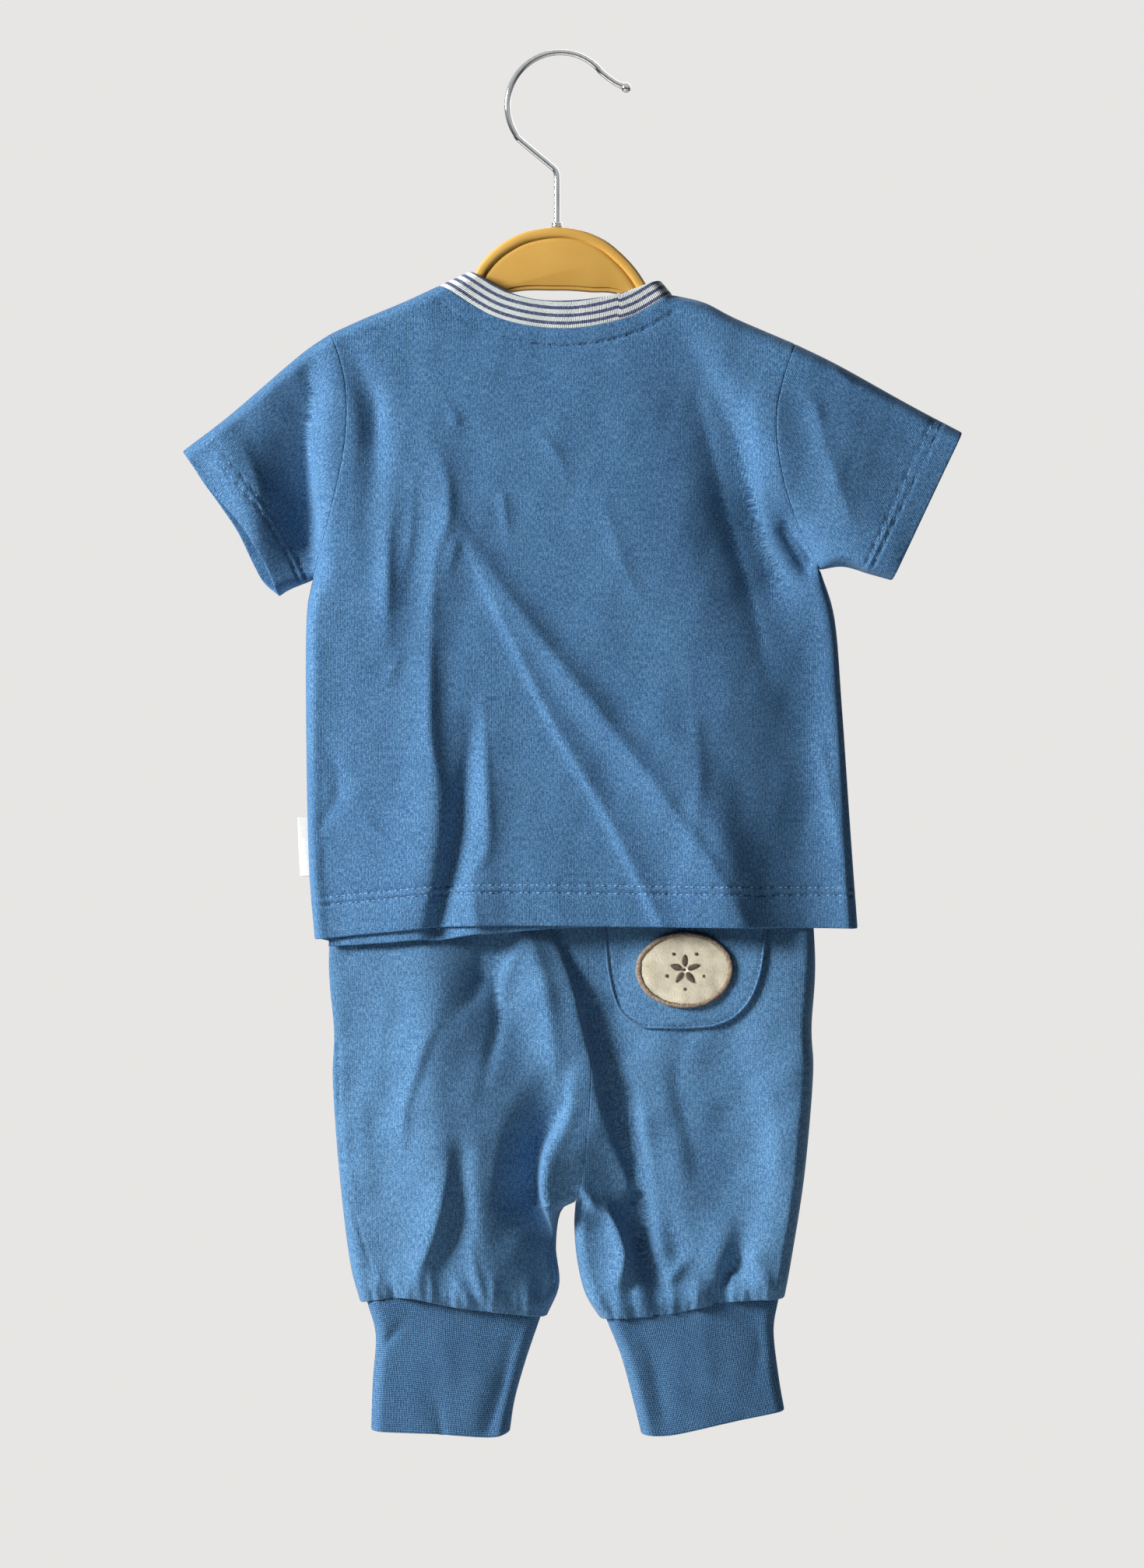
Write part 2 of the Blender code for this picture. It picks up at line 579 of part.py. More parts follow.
def neck_layer(seam, edge, side, folds):
    columns = steps_in(0.0, path_length(smooth_path(seam)), (True, True), 5)
    left = plain_edge(BAND_FOLD_LEFT)
    right = plain_edge(BAND_FOLD_RIGHT[::-1])
    width = path_length(smooth_path(BAND_FOLD_LEFT))
    rows = np.array([2 * SEAM / width, 0.34, 0.67, 1.0])
    places = coons(left, right, plain_edge(seam), plain_edge(edge), columns, rows)
    return layer(places, shirt_depth(places, folds), side)


def neckband():
    return ring(
        neck_layer(BACK_NECK_SEAM, BACK_NECK_EDGE, -1, SHIRT_BACK_FOLDS),
        neck_layer(FRONT_NECK_SEAM, FRONT_NECK_EDGE, 1, SHIRT_FRONT_FOLDS),
    )


# Trouser legs

CROTCH = 0.82


def leg_rows(above, below):
    rise = path_length(smooth_path(CENTRE_SEAM))
    return merged(
        steps_in(0.0, rise, (False, True), above, CROTCH),
        np.linspace(CROTCH, 1.0, below + 1),
    )


def leg_panel(hand, side, folds, columns, above, below):
    """One of the four leg panels; hand is -1 for the left leg and 1 for the right."""
    half_waist = (WAIST[0], WAIST[1]) if hand < 0 else (WAIST[1], WAIST[2])
    outer = plain_edge(TROUSER_SIDE_LEFT if hand < 0 else TROUSER_SIDE_RIGHT)
    inseam = INSEAM_LEFT if hand < 0 else INSEAM_RIGHT
    inner = joined((smooth_path(CENTRE_SEAM), CROTCH), (smooth_path(inseam), 1.0))
    seam = plain_edge(CUFF_SEAM_LEFT if hand < 0 else CUFF_SEAM_RIGHT)
    left, right = (outer, inner) if hand < 0 else (inner, outer)
    across = steps_in(0.0, LEG_WIDTH, (True, True), columns)
    places = coons(left, right, plain_edge(half_waist), seam, across, leg_rows(above, below))
    points = layer(places, trouser_depth(places, folds), side, SIDE_GAP)
    nearness = np.linspace(0, 1, points.shape[1])[::-hand]
    points[..., 0] += hand * SEAM / 2 * nearness
    return points


def waistband():
    waist = [(x, z + SEAM) for x, z in WAIST]
    top = [(x, z + BAND_HEIGHT) for x, z in WAIST]
    left = plain_edge((waist[0], top[0]))
    right = plain_edge((waist[-1], top[-1]))
    columns = np.concatenate([[0, 0.006], np.linspace(0.03, 0.97, 10), [0.994, 1]])
    places = coons(left, right, plain_edge(waist), plain_edge(top), columns, np.linspace(0, 1, 3))
    closed = [smooth_path((waist[0], top[0])), smooth_path((waist[-1], top[-1]))]
    depth = WAISTBAND_DEPTH * edge_rise(places, closed, WAISTBAND_DEPTH)
    return ring(layer(places, depth, -1), layer(places, depth, 1))


def cuff(hand):
    seam = CUFF_SEAM_LEFT if hand < 0 else CUFF_SEAM_RIGHT
    end = CUFF_LEFT_END if hand < 0 else CUFF_RIGHT_END
    left = CUFF_LEFT_OUTER if hand < 0 else CUFF_RIGHT_INNER
    right = CUFF_LEFT_INNER if hand < 0 else CUFF_RIGHT_OUTER
    lowered = [(x, z - 1.5 * SEAM) for x, z in seam]
    top = [left[0], *lowered[1:-1], right[0]]
    columns = steps_in(0.0, CUFF_WIDTH, (True, True), 6)
    rows = np.linspace(0, 1, 5)
    places = coons(plain_edge(left), plain_edge(right), plain_edge(top), plain_edge(end), columns, rows)
    depth = cuff_depth(places)
    return ring(layer(places, depth, -1), layer(places, depth, 1))


# Pieces cut from the cloth under them and moved out

def cut_to_outline(bm, outline):
    """Keep what lies inside a convex outline given as (x, z) places."""
    middle = np.mean(outline, axis=0)
    for start, end in zip(outline, np.roll(outline, -1, axis=0)):
        run = np.array(end, float) - start
        across = np.array((run[1], -run[0]))
        if across @ (middle - start) > 0:
            across = -across
        bmesh.ops.bisect_plane(
            bm, geom=bm.verts[:] + bm.edges[:] + bm.faces[:], dist=1e-7,
            plane_co=(start[0] * MM, 0, start[1] * MM), plane_no=(across[0], 0, across[1]),
            clear_outer=True)
    bmesh.ops.triangulate(bm, faces=bm.faces[:])


def move_out(bm, distance):
    """Move an open sheet of cloth towards -Y, square to itself."""
    bm.normal_update()
    for vert in bm.verts:
        normal = vert.normal if vert.normal.y < 0 else -vert.normal
        vert.co += normal * distance * MM


def overlay(model, name, sheet, outline, gap, thickness, material):
    """A cloth piece that lies on a sheet, and the sheet's own top side."""
    bm = sheet.copy()
    cut_to_outline(bm, outline)
    move_out(bm, gap)
    top = bm.copy()
    move_out(top, thickness)
    for face in bm.faces:
        if face.normal.y < 0:
            face.normal_flip()
    mesh = finished_mesh(name, bm)
    item = model.add(name, mesh, material)
    solid = item.modifiers.new("thickness", "SOLIDIFY")
    solid.thickness = thickness * MM
    solid.offset = 1.0 if mesh.polygons[0].normal.y < 0 else -1.0
    return top


def oval(centre, radii, count):
    turns = np.arange(count) * 2 * pi / count
    return [(centre[0] + radii[0] * cos(a), centre[1] + radii[1] * sin(a)) for a in turns]


def side_label():
    """A folded label that stands out of the left side seam."""
    rows = np.linspace(0, 1, 6)
    columns = np.linspace(0, 1, 3)
    z = LABEL_TOP - rows * LABEL_HEIGHT
    edge = smooth_path(SHIRT_SIDE_LEFT)
    x_seam = np.interp(-z, -edge[:, 1], edge[:, 0]) - SEAM
    x = x_seam[:, None] - columns[None, :] * LABEL_REACH
    curl = np.interp(rows, (0, 1), LABEL_CURL)
    y = -0.5 * LABEL_WALL - curl[:, None] * columns[None, :] ** 2
    return np.stack([x, y, np.broadcast_to(z[:, None], x.shape)], axis=-1)


# The hanger

def arc(centre, radius, start, end, count):
    turns = np.radians(np.linspace(start, end, count))
    return [(centre[0] + radius * cos(a), centre[1] + radius * sin(a)) for a in turns]


def hook_route():
    stem = [(HOOK_STEM_X, HOOK_STEM_FOOT), (HOOK_STEM_X, HOOK_STEM_TOP)]
    bow = arc(HOOK_CENTRE, HOOK_RADIUS, HOOK_SLOPE_ANGLE, HOOK_END_ANGLE, 22)
    return stem + list(HOOK_BEND) + bow + [*HOOK_LIP, HOOK_TIP]


def build_hook(model):
    bm = model.wire_mesh(model.add_wire("hook_wire", hook_route(), WIRE, 2))
    hook = model.add("hook", finished_mesh("hook", bm), "chrome")
    ball = bmesh.new()
    bmesh.ops.create_uvsphere(ball, u_segments=12, v_segments=8, radius=HOOK_BALL / 2 * MM)
    cut(hook, model.add_cutter("hook_ball", ball, (HOOK_TIP[0], 0, HOOK_TIP[1])), "UNION")


def under_shoulders(places_x):
    """Heights just under the shirt's shoulders and the neckband's folds."""
    heights = []
    lines = (
        (SHOULDER_LEFT, ARM_CLEARANCE), (BAND_FOLD_LEFT, BAND_CLEARANCE),
        (BAND_FOLD_RIGHT, BAND_CLEARANCE), (SHOULDER_RIGHT, ARM_CLEARANCE),
    )
    for x in places_x:
        lowest = 0.0
        for points, clearance in lines:
            line = smooth_path(points)
            near = line[np.abs(line[:, 0] - x) < clearance]
            if len(near):
                reach = np.sqrt(clearance ** 2 - (near[:, 0] - x) ** 2)
                lowest = min(lowest, (near[:, 1] - reach).min())
        heights.append(lowest)
    return heights


def hanger_outline():
    """The hanger's outline as (x, z) places: arms, dome, and back underneath."""
    left_top = list(zip(ARM_LEFT_X, under_shoulders(ARM_LEFT_X)))
    right_top = list(zip(ARM_RIGHT_X, under_shoulders(ARM_RIGHT_X)))
    under_left = [(x + ARM_SLANT, z - ARM_HEIGHT) for x, z in left_top[:-1]]
    under_right = [(x - ARM_SLANT, z - ARM_HEIGHT) for x, z in right_top[1:]]
    tip_left = [(left_top[0][0] - out, left_top[0][1] - down) for out, down in ARM_TIP]
    tip_right = [(right_top[-1][0] + out, right_top[-1][1] - down) for out, down in ARM_TIP]
    over = left_top + list(DOME) + right_top + tip_right
    return over + under_right[::-1] + list(DOME_FOOT) + under_left[::-1] + tip_left[::-1]


def build_hanger(model):
    outline = hanger_outline()
    bm = bmesh.new()
    half = (HANGER_HALF - RIM_CHAMFER) * MM
    verts = [bm.verts.new((x * MM, -half, z * MM)) for x, z in outline]
    bm.faces.new(verts)
    made = bmesh.ops.extrude_face_region(bm, geom=bm.faces[:], use_keep_orig=True)
    moved = [item for item in made["geom"] if isinstance(item, bmesh.types.BMVert)]
    bmesh.ops.translate(bm, verts=moved, vec=(0, 2 * half, 0))
    bmesh.ops.recalc_face_normals(bm, faces=bm.faces[:])
    for towards in (-1, 1):
        flat = [face for face in bm.faces if face.normal.y * towards > 0.99]
        for width, rise in ((RIM_CHAMFER, RIM_CHAMFER), (RIM_WIDTH, 0.0), (WEB_STEP, -WEB_RECESS)):
            bmesh.ops.inset_region(
                bm, faces=flat, thickness=width * MM, depth=rise * MM, use_even_offset=True)
    bmesh.ops.triangulate(bm, faces=bm.faces[:])
    hanger = model.add("hanger_body", finished_mesh("hanger_body", bm), "plastic")
    bore = bmesh.new()
    bmesh.ops.create_cone(
        bore, cap_ends=True, segments=12, radius1=(WIRE / 2 + SEAM) * MM, radius2=(WIRE / 2 + SEAM) * MM,
        depth=BORE_CUTTER * MM)
    middle = HOOK_STEM_FOOT - SEAM + BORE_CUTTER / 2
    cut(hanger, model.add_cutter("hook_bore", bore, (HOOK_STEM_X, 0, middle)))


def build_collar(model):
    """A small turned collar around the hook's stem, on top of the dome."""
    foot = DOME[5][1] + SEAM
    inner, outer = WIRE / 2 + SEAM, COLLAR_WIDTH / 2
    profile = ((outer, COLLAR_HEIGHT - COLLAR_BEVEL), (outer, 0), (inner, 0), (inner, COLLAR_HEIGHT),
               (outer - COLLAR_BEVEL, COLLAR_HEIGHT))
    bm = bmesh.new()
    verts = [bm.verts.new((x * MM, 0, z * MM)) for x, z in profile]
    edges = [bm.edges.new(pair) for pair in zip(verts, verts[1:] + verts[:1])]
    bmesh.ops.spin(
        bm, geom=verts + edges, angle=2 * pi, steps=16, axis=(0, 0, 1), cent=(0, 0, 0), use_merge=True)
    model.add("collar", finished_mesh("collar", bm), "chrome", (HOOK_STEM_X, 0, foot))


def bar_route():
    left, right = BAR_X
    low = BAR_HEIGHT
    top_left, top_right = hanger_underside(left) - SEAM, hanger_underside(right) - SEAM
    corner_left = arc((left + BAR_BEND, low + BAR_BEND), BAR_BEND, 180, 270, 7)
    corner_right = arc((right - BAR_BEND, low + BAR_BEND), BAR_BEND, 270, 360, 7)
    return [(left, top_left)] + corner_left + corner_right + [(right, top_right)]


def hanger_underside(x):
    """The lowest height that the hanger's underside has across the bar's end."""
    outline = np.array(hanger_outline())
    tip = outline[:, 0].argmax()
    under = outline[tip + 1:][::-1]
    near = np.linspace(x - BAR_WIRE / 2, x + BAR_WIRE / 2, 5)
    return np.interp(near, under[:, 0], under[:, 1]).min()


def build_bar_and_clips(model):
    wire = model.wire_mesh(model.add_wire("bar_wire", bar_route(), BAR_WIRE, 1))
    model.add("trouser_bar", finished_mesh("trouser_bar", wire), "chrome")
    width, depth, height = CLIP_SIZE
    slot_width, slot_height = CLIP_SLOT
    for name, x in zip(("clip_left", "clip_right"), CLIP_X):
        block = bmesh.new()
        size = (width * MM, depth * MM, height * MM, 1)
        bmesh.ops.create_cube(block, size=1.0, matrix=Matrix.Diagonal(size))
        centre = BAR_HEIGHT + BAR_WIRE / 2 + CLIP_ABOVE_BAR - height / 2
        clip = model.add(name, finished_mesh(name, block), "plastic", (x, 0, centre))
        slot = bmesh.new()
        size = (width * CUT_PAST * MM, slot_width * MM, slot_height * 2 * MM, 1)
        bmesh.ops.create_cube(slot, size=1.0, matrix=Matrix.Diagonal(size))
        cut(clip, model.add_cutter(name + "_slot", slot, (x, 0, centre - height / 2)))
        bore = bmesh.new()
        turn = Matrix.Rotation(pi / 2, 4, "Y")
        radius = (BAR_WIRE / 2 + SEAM) * MM
        bmesh.ops.create_cone(
            bore, cap_ends=True, segments=12, radius1=radius, radius2=radius, depth=width * CUT_PAST * MM,
            matrix=turn)
        cut(clip, model.add_cutter(name + "_bore", bore, (x, 0, BAR_HEIGHT)))


def build_shirt(model):
    back = shirt_body(BACK_NECK_SEAM, SHIRT_BACK_HEM, SHIRT_BACK_FOLDS, -1, 15)
    front = shirt_body(FRONT_NECK_SEAM, SHIRT_FRONT_HEM, SHIRT_FRONT_FOLDS, 1, 7)
    model.add("shirt_back", wall_mesh("shirt_back", back, JERSEY), "jersey")
    model.add("shirt_front", wall_mesh("shirt_front", front, JERSEY), "jersey")
    sleeves = {
        "sleeve_left": (ARMHOLE_LEFT, SLEEVE_TOP_LEFT, SLEEVE_HEM_LEFT, UNDERARM_LEFT),
        "sleeve_right": (ARMHOLE_RIGHT, SLEEVE_TOP_RIGHT, SLEEVE_HEM_RIGHT, UNDERARM_RIGHT),
    }
    for name, edges in sleeves.items():
        model.add(name, wall_mesh(name, sleeve(*edges), JERSEY, wrap=True), "jersey")
    model.add("neckband", wall_mesh("neckband", neckband(), NECK_RIB, wrap=True), "striped")
    model.add("side_label", wall_mesh("side_label", side_label(), LABEL_WALL), "label")


def build_trousers(model):
    for word, hand in (("left", -1), ("right", 1)):
        back = leg_panel(hand, -1, TROUSER_BACK_FOLDS, 11, 14, 6)
        front = leg_panel(hand, 1, TROUSER_FRONT_FOLDS, 4, 8, 4)
        model.add("trousers_back_" + word, wall_mesh("trousers_back_" + word, back, JERSEY), "fleece")
        model.add("trousers_front_" + word, wall_mesh("trousers_front_" + word, front, JERSEY), "fleece")
        model.add("cuff_" + word, wall_mesh("cuff_" + word, cuff(hand), RIB, wrap=True), "rib")
    model.add("waistband", wall_mesh("waistband", waistband(), WAISTBAND_WALL, wrap=True), "elastic")
    sheet = open_sheet(back)
    pocket_top = overlay(model, "pocket", sheet, POCKET_OUTLINE, SEAM, JERSEY, "fleece")
    badge = oval(BADGE_CENTRE, BADGE_RADII, BADGE_SIDES)
    overlay(model, "badge", pocket_top, badge, SEAM, BADGE_WALL, "felt").free()
    pocket_top.free()
    sheet.free()


def main():
    model = Model()
    build_shirt(model)
    build_trousers(model)
    build_hook(model)
    build_hanger(model)
    build_collar(model)
    build_bar_and_clips(model)


main()
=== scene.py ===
"""The finish of a baby T-shirt and harem trousers on a child's hanger.

Tables are in millimetres, as (x, z) places seen from behind the garments: the
backs face -Y, +X is to the right and the origin is the inner top of the hook.
Each garment is a front and a back layer of cloth.  A layer is a grid of places
that a rule lifts off the middle plane, with folds and creases on top.
"""
from collections import namedtuple
from math import cos, pi, radians, sin

import bmesh
import bpy
import numpy as np
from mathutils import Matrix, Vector


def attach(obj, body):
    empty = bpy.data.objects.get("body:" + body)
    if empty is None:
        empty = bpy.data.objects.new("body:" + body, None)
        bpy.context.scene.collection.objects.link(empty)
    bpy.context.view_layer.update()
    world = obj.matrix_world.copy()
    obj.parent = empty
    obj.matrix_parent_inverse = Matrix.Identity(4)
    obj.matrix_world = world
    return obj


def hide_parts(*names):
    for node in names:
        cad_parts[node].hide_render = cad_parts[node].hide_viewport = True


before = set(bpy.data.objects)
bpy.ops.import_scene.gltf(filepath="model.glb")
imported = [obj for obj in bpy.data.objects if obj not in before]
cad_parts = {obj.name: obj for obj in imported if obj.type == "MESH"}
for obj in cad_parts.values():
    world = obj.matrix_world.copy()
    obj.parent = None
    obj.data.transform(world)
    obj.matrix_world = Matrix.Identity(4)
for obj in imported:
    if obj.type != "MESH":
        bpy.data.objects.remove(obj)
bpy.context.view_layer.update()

MM = 0.001

# Which way a layer faces, and so which side of the middle plane it lies on
BACK, FRONT = -1, 1

# Cloth thicknesses
JERSEY = 1.0
RIB = 1.5
NECK_RIB = 1.5
FELT = 1.1
POCKET_THICKNESS = 1.1

# How far each layer's closed edges lie off the middle plane, and how round they turn to them
SIDE_GAP = 0.06
EDGE_TURN = 6.0
EDGE_TURN_SHARE = 0.9
EDGE_TURN_LEAST = 2.5

# The depth within which a closed edge's flat coordinates run on around the edge
TURNED = 9.0

# Grid spacing: even cells, finer at closed edges, open edges and stitch lines
CELL = 1.75
COARSE_CELL = 2.6
SLEEVE_CELL = 1.6
AT_CLOSED_EDGE = (0.0, 0.1, 0.3, 0.65, 1.1, 1.7, 2.5, 3.5, 4.7, 6.2, 8.0, 10.0)
AT_OPEN_EDGE = (0.0, 0.25, 0.6, 1.1, 1.8)
AT_LINE = (-1.2, -0.5, 0.0, 0.5, 1.2)
AT_BAND_EDGE = (0.0, 0.2, 0.5, 1.0)
AT_WAIST_EDGE = (0.0, 0.4, 1.0, 2.0, 3.2)
AT_POCKET_EDGE = (0.0, 0.2, 0.5, 1.0, 1.5, 1.9, 2.3)
AT_POCKET_TOP = (0.0, 0.4)

# Half depths of the two garments: height z, half depth
SHIRT_DEPTH = ((-100, 10.0), (-118, 10.5), (-160, 11.5), (-240, 12.5), (-330, 13.5), (-425, 15.5))
TROUSER_DEPTH = (
    (-315, 3.2), (-345, 3.6), (-385, 4.2), (-405, 5.8), (-420, 8.2), (-445, 12.0),
    (-480, 15.0), (-545, 16.5), (-578, 15.0), (-590, 12.5), (-600, 10.0),
)
TROUSER_LEAST_DEPTH = 2.4

# The sleeves grow thinner from this far out from the shirt's middle
SHIRT_MIDDLE = 4
SLEEVE_START = 100.0
SLEEVE_LENGTH = 75.0
SLEEVE_THINNING = 0.32

# The trousers hang turned by this slope, and their centre edges step aside from each other
TROUSER_LEAN = 0.01
CENTRE_SHIFT = 0.2

# Shirt outline: the closed edges first
SHOULDER_LEFT = ((-108.2, -132.5), (-92.5, -125.4), (-72.9, -117.2), (-56.2, -109.5))
SHOULDER_RIGHT = ((54.4, -114.0), (69.6, -117.7), (84.4, -125.2), (112.6, -137.3))
BAND_FOLD_LEFT = ((-56.2, -109.5), (-42.2, -102.9))
BAND_FOLD_RIGHT = ((48.8, -107.3), (54.4, -114.0))
SLEEVE_TOP_LEFT = ((-108.2, -132.5), (-123.2, -143.0), (-155.6, -170.8), (-178.3, -188.3))
SLEEVE_TOP_RIGHT = ((112.6, -137.3), (133.6, -147.6), (166.9, -166.1), (192.0, -179.4))
UNDERARM_LEFT = ((-116.8, -249.6), (-127.3, -253.8), (-132.5, -257.1))
UNDERARM_RIGHT = ((124.6, -244.5), (135.8, -243.1), (148.0, -246.5), (158.7, -249.5))
SHIRT_SIDE_LEFT = ((-116.8, -249.6), (-119.6, -270.0), (-119.6, -330.0), (-118.4, -385.0), (-115.6, -420.0))
SHIRT_SIDE_RIGHT = ((124.6, -244.5), (131.5, -268.0), (135.0, -310.0), (138.8, -365.0), (142.4, -414.8))

# Shirt outline: the open edges and the armholes
ARMHOLE_LEFT = (
    (-108.2, -132.5), (-103.6, -143.6), (-100.2, -160.0), (-100.6, -183.0), (-106.0, -211.0),
    (-116.8, -249.6),
)
ARMHOLE_RIGHT = (
    (112.6, -137.3), (106.6, -154.7), (103.2, -174.6), (105.5, -197.2), (112.5, -220.0), (124.6, -244.5),
)
SLEEVE_HEM_LEFT_BACK = (
    (-178.3, -188.3), (-169.5, -200.5), (-160.9, -211.3), (-150.6, -223.1), (-144.3, -232.7),
    (-137.3, -245.3), (-132.5, -257.1),
)
SLEEVE_HEM_LEFT_FRONT = (
    (-178.3, -188.3), (-169.8, -201.8), (-161.8, -212.8), (-153.2, -225.7), (-146.2, -240.1),
    (-140.6, -250.1), (-132.5, -257.1),
)
SLEEVE_HEM_RIGHT = ((192.0, -179.4), (176.0, -213.0), (158.7, -249.5))
BACK_NECK_SEAM = ((-56.2, -109.5), (-28.5, -125.8), (3.0, -131.0), (32.6, -125.8), (54.4, -114.0))
BACK_NECK_EDGE = ((-42.2, -102.9), (-21.1, -114.3), (-0.7, -117.7), (25.2, -115.1), (48.8, -107.3))
FRONT_NECK_SEAM = ((-56.2, -109.5), (-40.0, -144.0), (2.0, -165.0), (41.0, -146.0), (54.4, -114.0))
FRONT_NECK_EDGE = ((-42.2, -102.9), (-28.0, -132.0), (2.5, -150.0), (32.0, -134.0), (48.8, -107.3))
SHIRT_BACK_HEM = ((-115.6, -420.0), (-85.0, -416.8), (-39.0, -413.3), (60.0, -414.0), (142.4, -414.8))
SHIRT_FRONT_HEM = ((-115.6, -420.0), (-97.0, -422.8), (-50.0, -418.0), (23.0, -415.2), (142.4, -414.8))

# The left foot of the shirt's hem, where its inner layer hangs below
TURNING_FOOT = ((-108.5, -422.6), (-97.0, -422.4), (-62.0, -419.6), (-14.0, -415.6), (18.0, -413.4))
TURNING_HEIGHT = 9.0
TURNING_INSET = 2.3

# Trouser outline
WAIST = ((-92.0, -315.0), (6.0, -314.0), (104.0, -315.0))
TROUSER_SIDE_LEFT = (
    (-92.0, -315.0), (-103.0, -360.0), (-108.8, -425.0), (-106.4, -464.0), (-107.0, -487.0),
    (-104.0, -530.0), (-99.0, -572.0), (-94.0, -592.0),
)
TROUSER_SIDE_RIGHT = (
    (104.0, -315.0), (116.0, -360.0), (122.2, -425.0), (120.6, -462.0), (121.3, -485.0),
    (117.2, -532.0), (111.0, -572.0), (107.7, -590.1),
)
TROUSER_SEAM_LEFT = ((-104.5, -470.0), (-102.0, -523.0), (-91.0, -567.0), (-82.0, -590.0))
TROUSER_SEAM_RIGHT = ((118.0, -490.0), (114.0, -532.0), (107.5, -572.0), (103.5, -589.0))
CENTRE_SEAM = ((6.0, -314.0), (12.0, -370.0), (14.8, -420.0), (13.6, -515.0), (8.5, -544.6))
INSEAM_LEFT = ((8.5, -544.6), (1.2, -549.5), (-1.1, -566.0), (0.5, -584.0), (-5.5, -599.0))
INSEAM_RIGHT = ((8.5, -544.6), (7.9, -556.0), (9.2, -572.0), (13.0, -588.0), (20.0, -599.8))
CUFF_SEAM_LEFT = ((-94.0, -592.0), (-72.0, -589.3), (-47.0, -594.0), (-5.5, -599.0))
CUFF_SEAM_RIGHT = ((20.0, -599.8), (51.4, -597.5), (80.0, -591.8), (107.7, -590.1))
BAND_HEIGHT = 25.0
WAISTBAND_DEPTH = 2.8

# The share of a leg's inner edge above the crotch, and the length of its edges
CROTCH = 0.82
LEG_WIDTH = 110.0
LEG_LENGTH = 285.0

# Cuffs: the side edges and the open end
CUFF_LEFT_OUTER = ((-90.6, -592.6), (-86.6, -608.0), (-88.0, -630.0), (-88.8, -652.7))
CUFF_LEFT_INNER = ((-8.0, -599.2), (-15.0, -619.0), (-20.4, -638.0), (-22.9, -653.8))
CUFF_LEFT_END = ((-88.8, -652.7), (-59.6, -653.8), (-33.0, -655.6), (-22.9, -653.8))
CUFF_RIGHT_INNER = ((22.6, -600.2), (30.0, -618.0), (36.1, -640.5), (39.6, -654.9))
CUFF_RIGHT_OUTER = ((105.0, -590.9), (102.6, -606.0), (105.0, -628.0), (107.7, -643.8))
CUFF_RIGHT_END = ((39.6, -654.9), (54.8, -654.5), (80.0, -649.2), (107.7, -643.8))
CUFF_DEPTH = 9.5
CUFF_WIDTH = 74.0
CUFF_CRESTS = (-62.0, 40.0)
CUFF_GAP = 8.0
CUFF_FALL = 0.55
CUFF_INSIDE = 0.9
CUFF_FLAT_WIDTH = 84.0
CUFF_FLAT_LENGTH = 60.0

Leg = namedtuple("Leg", "hand waist outer inseam side_seam cuff_seam cuff_sides cuff_end")
LEGS = {
    "left": Leg(-1, WAIST[:2], TROUSER_SIDE_LEFT, INSEAM_LEFT, TROUSER_SEAM_LEFT, CUFF_SEAM_LEFT,
                (CUFF_LEFT_OUTER, CUFF_LEFT_INNER), CUFF_LEFT_END),
    "right": Leg(1, WAIST[1:], TROUSER_SIDE_RIGHT, INSEAM_RIGHT, TROUSER_SEAM_RIGHT, CUFF_SEAM_RIGHT,
                 (CUFF_RIGHT_INNER, CUFF_RIGHT_OUTER), CUFF_RIGHT_END),
}
CUFF_SEAMS = (CUFF_SEAM_LEFT, CUFF_SEAM_RIGHT)

# Pocket, badge and label
POCKET_LEFT = ((20.2, -400.0), (21.5, -418.0), (23.3, -436.0), (26.5, -449.0), (31.0, -456.5), (37.0, -460.8))
POCKET_RIGHT = (
    (100.6, -400.0), (99.2, -418.0), (96.6, -436.0), (91.8, -448.5), (84.5, -456.5), (76.0, -460.6),
)
POCKET_FOOT = ((37.0, -460.8), (44.0, -462.5), (67.7, -462.1), (76.0, -460.6))
POCKET_TOP_LIFT = 1.7
BADGE_CENTRE = (60.3, -434.5)
BADGE_RADII = (22.5, 17.5)
BADGE_BASE = 1.9
BADGE_THREAD = 0.3
BORDER_THREADS = 250
PETALS = 5
PETAL_THREADS = 11
KNOT_RADIUS = 9.2
LABEL_TOP = -362.2
LABEL_HEIGHT = 28.0
LABEL_REACH = 4.6
LABEL_TUCK = 0.6

# Folds and creases: places down the crest, the height at each, and the width
# on the crest's -X and +X sides.  A trough has negative heights.  Lean moves a
# high crest sideways, so that it rolls over what is beside it.
Crease = namedtuple("Crease", "points heights widths lean", defaults=(0.0,))
FOLD_SHAPE = 2.0
CREASE_SHAPE = 1.55
CREASE_GAIN = 1.22
REACH_IN_WIDTHS = 3.2

